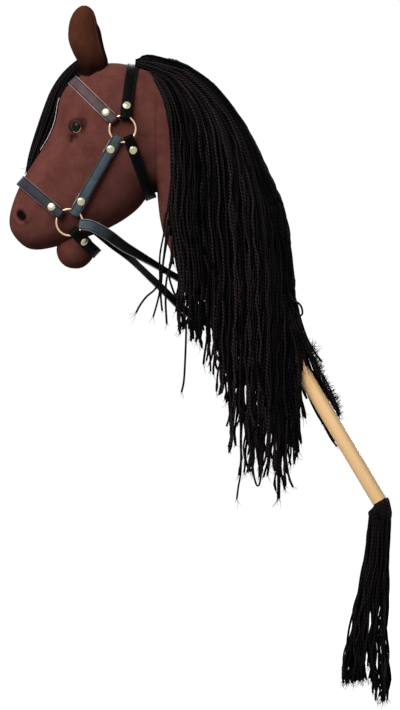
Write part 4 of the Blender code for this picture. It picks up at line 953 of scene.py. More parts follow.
def band(name, rows, thickness):
    """A strap through the rows of centre, width vector and direction out."""
    fine = smooth_rows(rows, 2.5)
    centre, wide, out = np.split(fine, 3, axis=1)
    half = np.linalg.norm(wide, axis=1) / 2
    wide = wide / (2 * half[:, None])
    out = unit(out - wide * (out * wide).sum(1)[:, None])
    along = run_along(centre)
    profiles = [band_profile(h, thickness) for h in half]
    around = len(profiles[0])
    points = [c + w * x + o * y for c, w, o, profile in zip(centre, wide, out, profiles)
              for x, y in profile]
    across = np.array([x for profile in profiles for x, _ in profile])
    faces = [(a, d, c, b) for a, b, c, d in ring_faces(len(fine), around)]
    faces += [tuple(range(around)), tuple(range(len(points) - around, len(points)))[::-1]]
    piece = mesh_piece(name, np.array(points) * MM, faces)
    corner = np.empty(len(piece.data.loops), dtype=int)
    piece.data.loops.foreach_get("vertex_index", corner)
    store_uv(piece.data, "strap", np.stack([across[corner], along[corner // around]], axis=1))
    edit(piece, FACE_OUTWARDS)
    return piece, fine, along


STRAPS = {
    "crown_strap": BLACK_LEATHER,
    "brow_band": BLACK_LEATHER_PAINTED_PLUM_SHEEN,
    "throat_latch": BLACK_LEATHER,
    "nose_band": BLACK_LEATHER_PAINTED_BROWN_SHEEN,
    "chin_strap": BLACK_LEATHER,
    "cheek_strap_left": BLACK_LEATHER_PAINTED_SLATE_SHEEN,
    "cheek_strap_right": BLACK_LEATHER_PAINTED_SLATE_SHEEN,
}
strap_lines = {}
for name, leather in STRAPS.items():
    strap, fine, along = band(f"{name}_leather", strap_rows(name), STRAP_THICKNESS)
    strap_lines[name] = fine, along
    finish(strap, leather, "horse", "strap", name, sharp=50)
    print(name, "length", round(along[-1]), "mm")

# %% [markdown]
# ** The reins** are one long strap from ring to ring, shaped as it hangs and twists.

# %% The reins
rein_rows = strap_rows("reins")
# Painted sheen: the rein is black, and its slate near the rings is the light on it, fading to black.
REIN_LEATHER = strap_leather("black_split_leather_painted_slate_sheen_at_ends", "4c575d", "6f787c", "040404",
                             float(run_along(rein_rows[:, :3])[-1]))
reins, fine, along = band("rein_leather", rein_rows, STRAP_THICKNESS)
strap_lines["reins"] = fine, along
finish(reins, REIN_LEATHER, "horse", "strap", "reins", sharp=50)

# %% [markdown]
# **Yarn as tubes.** Hundreds of strands are too many to model one by one, so each is a path, and
# one function makes a tube round it. It stores the distance round and along as a UV map for the
# twist, and a lightness for each strand, because no two lie alike in the light.

# %% Tubes along paths
Strand = namedtuple("Strand", "path radius shade")


def tubes(name, strands, sides=5):
    """One mesh with a closed tube along each strand's path."""
    points, quads, caps, uvs, shades = [], [], [], [], []
    base = 0
    angles = 2 * pi * np.arange(sides)[:, None] / sides
    for path, radius, shade in strands:
        n = len(path)
        radius = np.broadcast_to(np.asarray(radius, float), n)
        tangent = unit(np.gradient(path, axis=0))
        upright = np.where(np.abs(tangent[:, [1]]) < 0.9, [[0, 1, 0]], [[1, 0, 0]])
        side = unit(np.cross(tangent, upright))
        ring = side[:, None] * np.cos(angles) + np.cross(tangent, side)[:, None] * np.sin(angles)
        points.append((path[:, None] + ring * radius[:, None, None]).reshape(-1, 3))
        along = run_along(path)
        r, k = np.meshgrid(np.arange(n - 1), np.arange(sides), indexing="ij")
        a, b = base + r * sides + k, base + r * sides + (k + 1) % sides
        quads.append(np.stack([a, b, b + sides, a + sides], axis=2).reshape(-1, 4))
        u0, u1, v0, v1 = k / sides, (k + 1) / sides, along[r], along[r + 1]
        uvs.append(np.stack([u0, v0, u1, v0, u1, v1, u0, v1], axis=2).ravel())
        shades.append(np.full(n * sides, shade))
        last = base + (n - 1) * sides
        caps += [tuple(range(base, base + sides))[::-1], tuple(range(last, last + sides))]
        base = last + sides
    uvs.append(np.zeros(len(caps) * sides * 2))
    faces = np.concatenate(quads).tolist() + caps
    piece = mesh_piece(name, np.concatenate(points) * MM, faces)
    store_uv(piece.data, "strand", np.concatenate(uvs))
    store(piece.data, "shade", np.concatenate(shades))
    print(name, len(strands), "strands")
    return piece


def resampled(path, step):
    """The same path with points that far apart."""
    path = np.asarray(path, float)
    along = run_along(path)
    count = max(3, int(round(along[-1] / step)) + 1)
    return rows_at(path, along, np.linspace(0, along[-1], count))


def fibre_path(start, heading, curl, reach, last=1.0):
    """The path of a fine fibre, which curls more the farther it runs."""
    return np.array([start + (heading * s + curl * s * s) * reach for s in (0, 0.4, 0.75, last)])


def frayed(rng, strand, fibres, length):
    """Fine fibres that spread from a strand's end."""
    end = strand.path[-1]
    heading = unit(end - strand.path[-2])
    out = []
    for _ in range(fibres):
        spread = heading + rng.normal(0, 0.35, 3)
        curl = rng.normal(0, 0.3, 3)
        reach = length * rng.uniform(0.5, 1.2)
        path = fibre_path(end - heading * 1.5, spread, curl, reach, 1.1)
        out.append(Strand(path, [0.5, 0.36, 0.28, 0.15], strand.shade))
    return out


# %% [markdown]
# **The stitches** are short pieces of thread that sink into the leather at both ends.

# %% The stitches
STITCH_PITCH = 3.6              # millimetres from one stitch to the next
STITCH_LENGTH = 2.4
BOX_STITCHES = (14, 29)         # from each end of the reins to the lines across the fold


def stitch_lines(fine, along, first, last):
    """Stitches on a strap's outer face, along both edges, between two distances along it."""
    stitches = []
    for d in np.arange(first, last, STITCH_PITCH):
        at = [d + STITCH_LENGTH * s for s in (-0.5, -0.3, 0, 0.3, 0.5)]
        centre, wide, out = np.split(rows_at(fine, along, at), 3, axis=1)
        half = np.linalg.norm(wide, axis=1)[:, None] / 2
        lift = np.array([0.5, 0.78, 0.86, 0.78, 0.5])[:, None]
        for sign in (-1, 1):
            path = centre + wide / (2 * half) * sign * (half - STITCH_INSET) + out * lift
            stitches.append(Strand(path, [0.2, 0.36, 0.4, 0.36, 0.2], 1.0))
    return stitches


def cross_stitches(fine, along, d):
    """A line of stitches across a strap's outer face."""
    centre, wide, out = np.split(rows_at(fine, along, d), 3)
    stitches = []
    for middle in (-0.3, -0.1, 0.1, 0.3):
        path = np.array([centre + wide * (middle + 0.075 * s) + out * lift
                         for s, lift in ((-1, 0.5), (-0.6, 0.8), (0.6, 0.8), (1, 0.5))])
        stitches.append(Strand(path, [0.25, 0.45, 0.45, 0.25], 1.0))
    return stitches


def outer_run(fine, along):
    """Where the strap's face looks away from the head, as distances along it."""
    centre, out = fine[:, :3], fine[:, 6:9]
    runs = along[((centre - inside_of(centre)) * out).sum(1) > 0]
    return runs.min() + 7, runs.max() - 7


for name, (fine, along) in strap_lines.items():
    end = along[-1]
    first, last = (11, end - 11) if name == "reins" else outer_run(fine, along)
    stitches = stitch_lines(fine, along, first, last)
    if name == "reins":
        for d in (*BOX_STITCHES, *[end - d for d in BOX_STITCHES[::-1]]):
            stitches += cross_stitches(fine, along, d)
    finish(tubes(f"{name}_stitches", stitches), STITCH_THREAD, "horse", "strap")

# %% [markdown]
# ** The eyelids.** A fold of suede is stitched over each eye's upper edge, from the inner corner to
# behind the eye, and is darkened with painted shade. It is a tapering roll along an arc on the
# skin.

# %% The eyelids
# Each place's angle round the eye, seen from the horse's left, and the roll's radius there.
LID_ROLL = [(205, 0.5), (180, 1.1), (150, 1.6), (115, 1.9), (80, 1.9), (45, 1.6), (18, 1.1),
            (-8, 0.5)]

for side, (seat, out) in EYE_PLACE.items():
    out = np.array(out)
    right = unit(np.array([1.0, 0, 0]) - out * out[0])
    up = np.array([0, 0, 1.0]) - out * out[2]
    up = unit(up - right * (up @ right))
    rows = []
    for angle, radius in LID_ROLL:
        reach = EYE_RADIUS + (1.6 * (1 - max(angle, 0) / 60) if angle < 60 else 0)
        turn = right * cos(radians(angle)) + up * sin(radians(angle))
        rows.append([*(in_mm(seat) + out * 0.9 + turn * reach), radius])
    rows = smooth_rows(rows, 0.8)
    lid = tubes(f"eyelid_{side}", [Strand(rows[:, :3], rows[:, 3], 1.0)], sides=12)
    # Painted shade on the lid's fold.
    store(lid.data, "spray_and_shade", np.full(len(lid.data.vertices), 0.4))
    finish(lid, SUEDE, "horse", "suede")

# %% [markdown]
# **The mane.** Yarn is sewn to a tape along the crest and hangs down both sides. Seen from the side
# the strands lie between two outlines, the crest at the back and the edge over the cheek in front,
# and follow them like lines on a map. A strand is named by its share of the way between the two, q.
# Its depth comes from rays through the solid mane, so the yarn fills the place that the solid
# holds. The strands in front of each other make the layers.

# %% Lines of flow in the mane
# The outlines in the side view, across and up from the grip, in millimetres.
MANE_BACK = [(-260, 551), (-239, 546), (-207, 528), (-187, 515), (-160, 482), (-129, 433),
             (-107, 382), (-82, 330), (-71, 257), (-67, 195), (-58, 177), (-61, 150), (-64, 82),
             (-56, 31), (-61, -25), (-61, -95)]
MANE_FRONT = [(-276, 551), (-286, 545), (-281, 532), (-268, 510), (-257, 486), (-251, 455),
              (-248, 420), (-246, 380), (-250, 316), (-241, 264), (-236, 229), (-243, 165),
              (-243, -95)]
RIGHT_BACK = MANE_BACK[:10] + [(-49, 135), (-33, 109), (-18, 71), (-2, 44), (-1, 26), (0, -60)]
# Where the strands of each side end, by their place across, in millimetres.
LEFT_TIERS = [(-248, 171), (-233, 151), (-219, 142), (-204, 137), (-195, 99), (-182, 93),
              (-177, 60), (-171, 23), (-162, 16), (-158, -27), (-150, -42), (-143, -63),
              (-132, -52), (-120, -64), (-103, -62), (-91, -82), (-82, -72), (-72, -42),
              (-65, -23), (-59, 23)]
RIGHT_TIERS = [(-243, 165), (-222, 150), (-202, 125), (-182, 95), (-162, 52), (-141, 8),
               (-121, -30), (-101, -50), (-82, -60), (-68, -35), (-62, 66), (-45, 50), (-25, 16),
               (-12, -4), (-5, 26), (-1, 30)]
FOOT = 80                       # the height at which a strand's place across is named
# On the crest the strands share the room evenly. Lower down they hang plumb, and only those near
# the back lean with the outline: the power grows with the drop.
LEAN_HEIGHTS = (200, 330, 382, 433, 482, 515, 540)
LEAN_POWERS = (3.8, 3.6, 3.0, 2.3, 1.6, 1.25, 1.0)


def outline_x(outline, z):
    places, heights = np.array(outline, float).T
    return np.interp(-z, -heights, places)


def sheet_depths(tree, sign, x, z):
    """How far out the solid mane's two faces are at a place in the side view, in millimetres."""
    hit = tree.ray_cast(Vector((x * MM, sign * 0.3, z * MM)), Vector((0, -sign, 0)))[0]
    if hit is None:
        return None
    outer = abs(hit.y) / MM
    back = tree.ray_cast(Vector((x * MM, 0, z * MM)), Vector((0, sign, 0)))[0]
    inner = abs(back.y) / MM if back is not None else outer - 10
    return outer, min(inner, outer - 4)


def flow_x(back, q, z):
    """Where a strand is across, at some heights."""
    power = np.interp(z, LEAN_HEIGHTS, LEAN_POWERS)
    foot_back, foot_front = outline_x(back, FOOT), outline_x(MANE_FRONT, FOOT)
    lean = ((outline_x(back, z) - foot_back) * (1 - q) ** power
            + (outline_x(MANE_FRONT, z) - foot_front) * q)
    return foot_back * (1 - q) + foot_front * q + lean


def soften(values, times):
    """Evens out values along a strand, whose ends stay."""
    for _ in range(times):
        values[1:-1] = (values[:-2] + 2 * values[1:-1] + values[2:]) / 4


def flow_strand(rng, tree, sign, back, q, top, end, depth, wander):
    """A strand along its line of flow, from its start's height to its end's."""
    z = np.linspace(top, end, max(4, int((top - end) / 9)))
    x = flow_x(back, q, z)
    soften(x, 3)
    y = np.empty(len(z))
    outer, inner = 8.0, 2.0
    for i, (px, pz) in enumerate(zip(x, z)):
        outer, inner = sheet_depths(tree, sign, px, pz) or (outer, inner)
        y[i] = outer + (inner - outer) * depth
    if len(y) > 4:
        soften(y, 4)
    # It wanders more, the farther it hangs, and its last centimetres go their own way.
    drop = top - z
    grow = 1 - np.exp(-drop / 90)
    phase = rng.uniform(0, 2 * pi, 3)
    length = rng.uniform(60, 150, 2)
    x = x + wander * grow * (np.sin(drop / length[0] * 2 * pi + phase[0])
                             + 0.5 * np.sin(drop / length[1] * 5 * pi + phase[1]))
    y = y + 0.6 * wander * grow * np.sin(drop / length[1] * 2 * pi + phase[2])
    near_end = 1 - np.clip((z - end) / 120, 0, 1)
    x = x + rng.normal(0, 4.5) * near_end ** 2
    tip = 1 - np.clip((z - end) / 26, 0, 1)
    x = x + rng.normal(0, 3.0) * tip ** 2
    y = y + rng.normal(0, 1.5) * tip ** 2
    return np.stack([x, sign * y, z], axis=1)


# %% Strands of the mane
YARN_RADIUS = 1.7
SHORTEST_STRAND = 60            # a shorter one is left out
LAYERS = (0.0, 0.3, 0.6, 0.85, 1.0)     # from the mane's outer face to its inner one
ACROSS = (42, 42, 56, 64, 84)   # strands side by side in each layer, at the widest place
rein_points = in_mm(points_of(reins.data)[::2])


def clear_of_reins(path, sign):
    """Strands over the reins pass outside them."""
    for point in path:
        away = np.abs(rein_points - point)
        near = rein_points[(away[:, 0] < 6) & (away[:, 2] < 7)]
        if len(near):
            point[1] = sign * max(abs(point[1]), (sign * near[:, 1]).max() + 2.6)
    soften(path[:, 1], 2)
    return path


def from_poll(rng, sign, path, q, deep):
    """Starts a strand in the bundle on the poll, from where it bends back along the crest."""
    lift = 6 * rng.random() - deep
    start = [-298 + 8 * rng.random(), sign * (5 + lift), 542 + 4 * rng.random() - 6 * q]
    over = [-289 - 3 * q, sign * (8 + lift), 549 - 15 * q]
    back = [-276 - q, sign * (9 + lift), 551.5 - 26 * q]
    rest = path[path[:, 2] < back[2] - 8]
    return resampled(smooth_rows([start, over, back, *rest], 7), 8)


def mane_strands(rng, sign, tree, back, tiers):
    strands, frays = [], []
    tier_x, tier_z = zip(*tiers)
    for layer, (depth, across) in enumerate(zip(LAYERS, ACROSS)):
        for j in range(across):
            q = float(np.clip((j + 0.5 + rng.uniform(-0.45, 0.45)) / across, 0.004, 0.996))
            foot = flow_x(back, q, FOOT)
            ragged = 9.0 if sign > 0 and foot > -70 else 24.0
            end = np.interp(foot, tier_x, tier_z)
            end += min(90.0, rng.exponential(ragged)) - 5.0 * rng.random()
            if rng.random() < 0.3:
                end += rng.uniform(20, 130)
            # Near the crest there is room for fewer strands, so the others start lower.
            whole = (j * 7 + layer * 3) % 5 < 2
            top = rng.uniform(535, 549) if whole else rng.uniform(330, 535)
            if layer > 2:
                # The innermost rows only hide the neck.
                end += rng.uniform(40, 130)
            if top - end < SHORTEST_STRAND:
                continue
            wander = rng.uniform(0.8, 2.4) if layer < 2 else rng.uniform(0.3, 1.0)
            path = flow_strand(rng, tree, sign, back, q, top, end, depth, wander)
            if layer < 2:
                path = clear_of_reins(path, sign)
            if whole and layer < 3:
                path = from_poll(rng, sign, path, q, layer)
            if not whole:
                # It comes out from under its neighbours.
                rise = np.clip((top - path[:, 2]) / 45, 0, 1)
                path[:, 1] -= sign * (1 - rise) * 5.0
            path[:, 1] += rng.normal(0, 1.3 if layer < 3 else 0.4)
            radii = np.full(len(path), YARN_RADIUS * rng.uniform(0.88, 1.12))
            thick = radii[1] * 1.5
            radii[0] *= 0.6
            if rng.random() < 0.4:
                radii[-2] = thick       # a knot
            strand = Strand(path, radii, 0.12 + 2.6 * rng.random() ** 2)
            strands.append(strand)
            if layer < 3:
                frays += frayed(rng, strand, 3, 7.0)
    return strands, frays


# %% [markdown]
# Some strands hang alone, over the rein, over the hem and below the others. Each of them is a curve
# through a few places in the side view, and starts in the mane of its side.

# %% Single strands
LEFT_STRAYS = [
    # Over the rein in front of the neck, and below the mane's ends.
    [(166, 214), (164, 234), (160, 257), (160, 288), (157.9, 301), (153.4, 317)],
    [(168, 220), (165, 248), (161.3, 275), (155.6, 289), (146.7, 297), (140, 306), (136.7, 312.5)],
    [(170, 226), (169, 232), (163.4, 263), (161, 290), (161.2, 301), (162.3, 311)],
    [(172, 240), (172, 261), (166.8, 279), (165.7, 301), (166.8, 324)],
    [(173, 236), (171, 260), (169, 275.7), (174.6, 294.6), (179, 300)],
    [(186, 320), (186, 336), (185, 362), (183.8, 381), (181.5, 392)],
    [(251, 440), (252.4, 465), (254, 478), (257.5, 486), (260, 480), (260.6, 468), (260, 452)],
    [(288, 290), (292.9, 300.3), (298, 303), (301.2, 307), (302.2, 314), (299, 316), (295, 311)],
    [(241, 440), (240.5, 470), (238, 486), (236.5, 498)],
    [(277, 450), (277.5, 478), (277.3, 499)],
    [(279, 450), (279.2, 476), (279, 498)],
    [(289, 440), (288, 452), (290.5, 465)],
    [(297, 400), (297, 430), (298.5, 452)],
    [(300, 360), (300.5, 390), (303.5, 415)],
    # Over the hem, down to where the stick comes out.
    [(292, 318), (297, 338), (301, 356), (302, 371)],
    [(294, 320), (299.5, 338), (304, 352), (305.5, 361)],
    [(291, 322), (296, 340), (299.5, 360), (300.5, 380)],
    [(295, 324), (301.5, 338), (306, 348), (309.5, 356)],
    [(293, 326), (300, 342), (303.5, 354), (306.5, 366)],
    [(290, 326), (295, 346), (298, 366), (299, 388)],
    [(296, 318), (303, 334), (307.5, 344), (312, 352)],
]
# Ends of the right side's yarn that show in front of the stick's lower edge.
RIGHT_STRAYS = [
    [(303, 372), (308, 394), (316, 412), (322.5, 423)],
    [(305, 378), (311, 399), (318, 414), (325, 427)],
    [(318, 412), (327, 431), (332, 440), (337, 446.5)],
    [(320, 412), (329, 432), (334.5, 442)],
]
# The outer edge of the right side's yarn beside the stick, where it has felted to a fuzz.
FUZZ_EDGE = [(307, 343), (313, 346), (318, 361), (323.5, 376), (328, 387), (335, 396), (339, 406),
             (340, 418)]


def fuzz(rng):
    fibres = []
    for place in resampled([seen(px, py, 13) for px, py in FUZZ_EDGE], 1.1):
        for _ in range(3):
            start = place + rng.normal(0, 1.5, 3) * [1, 2.5, 1] - [3, 0, 0]
            heading = np.array([1.0, rng.normal(0, 0.4), rng.normal(0.2, 0.7)])
            curl = rng.normal(0, 0.5, 3)
            path = fibre_path(start, heading, curl, rng.uniform(3.5, 6.5))
            fibres.append(Strand(path, [0.55, 0.45, 0.35, 0.15], rng.uniform(0.3, 1.0)))
    return fibres


def stray_strands(rng, trees):
    strands, frays = [], []
    strays = [(stops, -1) for stops in LEFT_STRAYS] + [(stops, 1) for stops in RIGHT_STRAYS]
    for stops, sign in strays:
        flat = [seen(px, py) for px, py in stops]
        # The nearest place on the mane at the strand's height, in front of the start or behind it.
        hit = None
        for shift in sorted(range(-36, 37, 3), key=abs):
            if hit is None:
                start = Vector((flat[0][0] + shift, sign * 300, flat[0][2])) * MM
                hit = trees[sign].ray_cast(start, Vector((0, -sign, 0)), 0.3)[0]
        depth = hit.y / MM if hit else sign * 16
        path = resampled(smooth_rows([(x, depth - sign, z) for x, _, z in flat], 4), 4)
        path = clear_of_reins(path, sign)
        strand = Strand(path, YARN_RADIUS * rng.uniform(0.85, 1.0), rng.uniform(0.6, 1.3))
        strands.append(strand)
        frays += frayed(rng, strand, 4, 8.0)
    return strands, frays


# %% Both sides of the mane
mane_trees = {sign: BVHTree.FromObject(bpy.data.objects[f"mane_{side}"],
                                       bpy.context.evaluated_depsgraph_get())
              for side, sign in BOTH_SIDES}
MANES = (("left", -1, MANE_BACK, LEFT_TIERS, 11), ("right", 1, RIGHT_BACK, RIGHT_TIERS, 12))
for side, sign, back, tiers, seed in MANES:
    rng = np.random.default_rng(seed)
    strands, frays = mane_strands(rng, sign, mane_trees[sign], back, tiers)
    if side == "left":
        more, more_frays = stray_strands(rng, mane_trees)
        strands, frays = strands + more, frays + more_frays
    else:
        frays += fuzz(rng)
    finish(tubes(f"mane_yarn_{side}", strands), YARN, "horse", "yarn", f"mane_{side}")
    finish(tubes(f"mane_ends_{side}", frays, sides=3), YARN, "horse", "yarn")

# %% [markdown]
# **The forelock** is a tuft of the same yarn, sewn between the ears and swept down the right side
# of the face. Its strands share one middle line, and each keeps its place in the tuft's section.

# %% The forelock
# A place, then half the tuft's thickness and half its width there, in millimetres.
FORELOCK = [(-338, 5, 531, 4, 6), (-349, 5, 550, 6, 8), (-368, 8, 547, 7, 8),
            (-393, 17, 527, 8, 11), (-411, 23, 499, 10.5, 15), (-421.5, 27, 468, 13.5, 16.5),
            (-433, 28, 435.5, 12.5, 17), (-444.5, 26, 403.5, 9.5, 15), (-452.5, 24, 384, 5, 9)]
FORELOCK_STRANDS, FOREHEAD_STRANDS = 110, 34


def forelock_strands(rng):
    rows = smooth_rows(FORELOCK, 7)
    line, thick, wide = rows[:, :3], rows[:, 3] - 1.1, rows[:, 4] - 1.1
    along = unit(np.gradient(line, axis=0))
    through = unit(np.stack([along[:, 2], np.zeros(len(along)), -along[:, 0]], axis=1))
    across = np.cross(along, through)
    strands, frays = [], []
    for _ in range(FORELOCK_STRANDS):
        angle, reach = rng.uniform(0, 2 * pi), sqrt(rng.uniform(0.02, 1))
        a, b = reach * cos(angle), reach * sin(angle)
        last = max(12, min(len(line), len(line) - int(rng.exponential(2.2))))
        path = line + through * (a * thick)[:, None] + across * (b * wide)[:, None]
        wave = np.arange(last) / rng.uniform(5, 9)
        sway = 0.6 * np.sin(wave * 2 * pi / 3 + rng.uniform(0, 6))
        path = path[:last] + through[:last] * sway[:, None]
        strand = Strand(path, YARN_RADIUS * rng.uniform(0.85, 1.05), rng.uniform(0.6, 1.4))
        strands.append(strand)
        frays += frayed(rng, strand, 2, 6.0)
    # The uppermost strands come over the forehead in front of the ears.
    for k in range(FOREHEAD_STRANDS):
        s = (k + rng.random()) / FOREHEAD_STRANDS
        places = [(93, 61 + 5 * s), (81, 62 + 13 * s), (69.5, 69 + 13 * s),
                  (61 + 2 * s, 82 + 9 * s), (54 + 2 * s, 96 + 5 * s), (48 + 3 * s, 112)]
        stops = []
        for px, py in places:
            spot = seen(px, py)
            start = Vector((spot[0] * MM, -0.3, spot[2] * MM))
            hit = guide_tree.ray_cast(start, Y_AXIS, 0.3)[0]
            beside = stops[-1][1] + 9 if stops else -3
            spot[1] = hit.y / MM - 2 - 2.5 * rng.random() if hit is not None else beside
            stops.append(spot)
        path = resampled(smooth_rows(stops, 6), 6)
        strands.append(Strand(path, YARN_RADIUS * 0.9, rng.uniform(0.4, 1.5)))
    return strands, frays


strands, frays = forelock_strands(np.random.default_rng(21))
finish(tubes("forelock_yarn", strands), YARN, "horse", "yarn", "forelock")
finish(tubes("forelock_ends", frays, sides=3), YARN, "horse", "yarn")

# %% [markdown]
# **The tail** is a tassel of the same yarn. Its head is wound yarn that sits against the stick's
# end. The strands start in the head and swing about it, so they ride on the tail's own body.

# %% The tail
TAIL_PIVOT = np.array(UP_STICK * -120)
# From the pivot: height, place across, half width and half depth, in millimetres.
TAIL = np.array([(-7, -4.2, 15.9, 14.7), (-16, -5, 17, 15.5), (-33.5, -6.5, 18.1, 16),
                 (-77, -9.4, 19.4, 17.5), (-135, -16.7, 26, 22), (-193, -22.8, 30.5, 26),
                 (-251, -23.5, 36, 29), (-278, -22, 30, 24)])
TAIL_STRANDS = 120
# Groups of strands part near the end, with light between them.
PARTINGS = [-0.42, 0.02, 0.5]


def tail_path(rng, a, b, length):
    """A strand by its place in the tail's section, a across and b in depth, from -1 to 1."""
    fall = np.linspace(5, length, int(length / 8))
    middle, wide, deep = (np.interp(fall, -TAIL[:, 0], TAIL[:, k]) for k in (1, 2, 3))
    # From the knot the strands come out sideways and then fall.
    out = np.clip((fall - 5) / 9, 0, 1)
    ease = 0.88 + 0.12 * np.sqrt(out * (2 - out))
    x = (middle + a * (wide - 1.3)) * ease
    y = b * (deep - 1.3) * ease
    grow = np.clip((fall - 60) / 160, 0, 1)
    for parting in PARTINGS:
        x = x + (3.4 * grow * np.tanh((a - parting) * 14)
                 * np.exp(-((a - parting) / 0.22) ** 2))
    x = x - 13 * max(0.0, -a - 0.25) * np.clip((fall - 170) / 80, 0, 1) ** 1.5
    phase = rng.uniform(0, 2 * pi, 3)
    wave = rng.uniform(45, 120)
    x = x + (0.7 + 1.8 * grow) * np.sin(fall / wave * 2 * pi + phase[0])
    y = y + (0.5 + 1.2 * grow) * np.sin(fall / wave * 2 * pi + phase[1])
    return np.stack([x, y, -fall], axis=1) + TAIL_PIVOT


def tail_strands(rng):
    strands, frays = [], []
    for _ in range(TAIL_STRANDS):
        angle, reach = rng.uniform(0, 2 * pi), sqrt(rng.uniform(0.03, 1))
        a, b = reach * cos(angle), reach * sin(angle)
        # The hindmost group hangs lowest, and the foremost one flares forward.
        length = np.interp(a, [-0.6, -0.2, 0.2, 0.5], [256, 250, 256, 282]) - rng.exponential(14)
        if rng.random() < 0.12:
            length -= rng.uniform(30, 90)
        path = tail_path(rng, a, b, length)
        strand = Strand(path, YARN_RADIUS * rng.uniform(0.85, 1.05), 0.15 + 2.0 * rng.random() ** 2)
        strands.append(strand)
        frays += frayed(rng, strand, 3, 8.0)
    return strands, frays


rng = np.random.default_rng(31)
strands, frays = tail_strands(rng)
finish(tubes("tail_yarn", strands), YARN, "tail", "yarn", "tail_strands")
finish(tubes("tail_ends", frays, sides=3), YARN, "tail", "yarn")


# %% The tail's head
HEAD_STRANDS = 40
# Yarn laid over the head goes from under the stick's end outwards: height along the stick and
# reach from its axis. Then it goes down to the strands: share of the tail's section, and height.
HEAD_TOP = [(8.4, 4), (8.3, 9.5), (6.4, 12.2)]
HEAD_FOOT = [(1.02, -9), (0.9, -16), (0.55, -21)]


def tassel_head(rng):
    strands = []
    up, right = np.array(UP_STICK), -np.array(FORWARD)
    for k in range(HEAD_STRANDS):
        turn = 2 * pi * (k + rng.uniform(-0.3, 0.3)) / HEAD_STRANDS
        outward = right * cos(turn) + np.array([0, sin(turn), 0])
        lower = np.array([-4.4 + 15.6 * cos(turn), 14.4 * sin(turn), 0])
        grow = 1 + rng.uniform(-0.06, 0.04)
        grows = (1, 1, grow, grow, grow, 1, 1)
        stops = [up * height + outward * reach * g for (height, reach), g in zip(HEAD_TOP, grows)]
        foot = [(0.95, -3 - 1.5 * (1 - cos(turn))), *HEAD_FOOT]
        stops += [lower * share * g + [0, 0, z] for (share, z), g in zip(foot, grows[3:])]
        path = smooth_rows(TAIL_PIVOT + stops, 2.5)
        strands.append(Strand(path, YARN_RADIUS, rng.uniform(0.2, 1.5)))
    return strands


finish(tubes("tail_knot", tassel_head(rng)), YARN, "horse", "yarn", "tail_root")

# %% [markdown]
# **Small pieces.** A line of pale felt runs down the face. A cotton tape holds the mane along the
# crest, and black cord is wound round the neck's hem, where the cover is tied to the stick.

# %% Blaze, tape and tie
BLAZE_THICKNESS, TAPE_THICKNESS = 0.8, 1.0
BLAZE_CLEARANCE = 1.7           # from the suede to the middle of the strip


def on_the_face(rows):
    """Lays a strip along the middle of the face, with narrower ends."""
    fine = smooth_rows(rows, 5)
    for i, row in enumerate(fine):
        spot, out, _, _ = guide_tree.find_nearest(Vector((row[0], 0, row[2])) * MM)
        out = Vector((out.x, 0, out.z)).normalized()
        row[:3] = in_mm([spot.x, 0, spot.z]) + np.array(out) * BLAZE_CLEARANCE
        from_end = min(i, len(fine) - 1 - i)
        row[3:6] = Y_AXIS * np.linalg.norm(row[3:6]) * min(1.0, 0.5 + 0.25 * from_end)
        row[6:9] = out
    return fine


blaze, _, _ = band("blaze_strip", on_the_face(strap_rows("blaze")), BLAZE_THICKNESS)
finish(blaze, FELT_PALE, "horse", "blaze_felt", "blaze", sharp=50)
tape, _, _ = band("mane_tape_strip", strap_rows("mane_tape"), TAPE_THICKNESS)
finish(tape, COTTON_TAPE, "horse", "tape", "mane_tape", sharp=50)

TIE_TURNS, TIE_RADIUS, CORD_RADIUS = 4, 15.0, 0.75
TIE_LOW, TIE_RISE = 9.6, 3.8    # above the hem, and from the cord's first turn to its last
tie_path = [in_mm(neck_point(TIE_LOW + TIE_RISE * turn / TIE_TURNS, 0))
            + np.array(FORWARD) * TIE_RADIUS * cos(2 * pi * turn)
            + np.array([0, TIE_RADIUS * sin(2 * pi * turn), 0])
            for turn in np.linspace(0, TIE_TURNS, TIE_TURNS * 28 + 1)]
cord = tubes("neck_cord", [Strand(np.array(tie_path), CORD_RADIUS, 1.0)], sides=8)
finish(cord, YARN, "horse", "tape", "neck_tie")

# %% [markdown]
# The pieces inside the horse keep the solid model's shape, and get the finish of the real thing.

# %% Hidden pieces
WASHER_NYLON, _ = start_material("white_moulded_nylon", Base_Color=colour("d9d7cf"),
                                 Roughness=0.45)
HIDDEN = {"eye_washer_left": WASHER_NYLON, "eye_washer_right": WASHER_NYLON,
          "tail_screw": SCREW_STEEL}
for name, material in HIDDEN.items():
    dress(bpy.data.objects[name], material)
    print(name, "in", material.name)

bpy.data.objects.remove(guide)

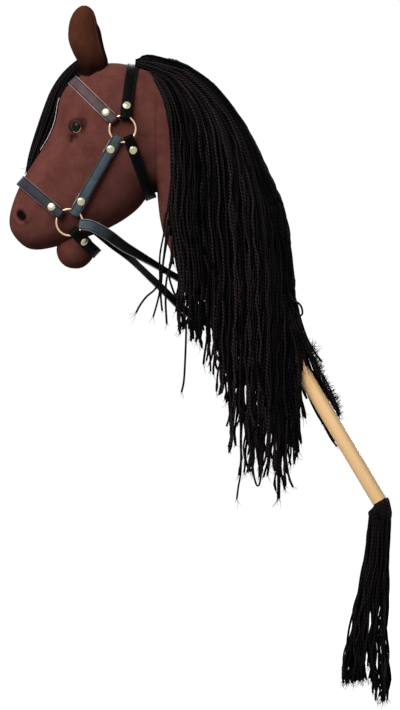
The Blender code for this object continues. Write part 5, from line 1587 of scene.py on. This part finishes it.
# %% [markdown]
# **The studio.** The horse hangs over a pale floor in an even white surround. The surround lights
# the horse only a little, and looks white where it is seen directly or in polished metal. The
# large lamp is above and in front on the left, as in the photograph, where the underside of the
# muzzle and the jaw fall into shade.

# %% Floor and surround
FLOOR_Z = -0.41
AMBIENT = 0.035                 # how strongly the surround lights the horse
WHITE = (1, 1, 1, 1)


def seen_directly(tree):
    """1 for what the camera sees, also in a mirror or through glass, and 0 for light on its way."""
    camera_ray = add(tree, "LightPath", output="Is Camera Ray")
    rays = camera_ray.node.outputs
    mirrored = add(tree, "Math", {"operation": "MAXIMUM"}, {0: rays["Is Glossy Ray"],
                                                            1: rays["Is Transmission Ray"]})
    return add(tree, "Math", {"operation": "MAXIMUM"}, {0: camera_ray, 1: mirrored})


PAPER, paper_tree = start_material("white_background_paper", Base_Color=colour("5c5c5c"),
                                   Roughness=0.9, Specular_IOR_Level=0.0, Emission_Color=WHITE)
# The paper glows a little where it is seen directly, so it is white and still shows the shadow.
feed(paper_tree, Emission_Strength=add(paper_tree, "Math", {"operation": "MULTIPLY", 1: 0.98},
                                       {0: seen_directly(paper_tree)}))
bpy.ops.mesh.primitive_plane_add(size=12, location=(0, 0, FLOOR_Z))
floor = bpy.context.object
floor.name = "floor"
dress(floor, PAPER)

world = bpy.data.worlds.new("studio")
bpy.context.scene.world = world
world.use_nodes = True
surround = world.node_tree.nodes["Background"]
surround.inputs["Color"].default_value = WHITE
strength = add(world.node_tree, "MapRange", {"To Min": AMBIENT},
               {"Value": seen_directly(world.node_tree)})
world.node_tree.links.new(strength, surround.inputs["Strength"])


# %% Lamps
def soft_lamp(name, place, aim, size, power):
    bpy.ops.object.light_add(type="AREA", location=place)
    lamp = bpy.context.object
    lamp.name = name
    lamp.data.size = size
    lamp.data.energy = power
    lamp.rotation_euler = (Vector(aim) - Vector(place)).to_track_quat("-Z", "Y").to_euler()
    print(name, power, "W")


soft_lamp("key", (-2.9, -4.1, 3.8), (-0.2, 0, 0.1), 4.0, 500)
soft_lamp("back", (0.6, 5.2, 2.4), (-0.2, 0, 0.1), 4.0, 400)
soft_lamp("fill", (1.8, -2.6, 0.9), (-0.2, 0, 0.2), 2.2, 6)
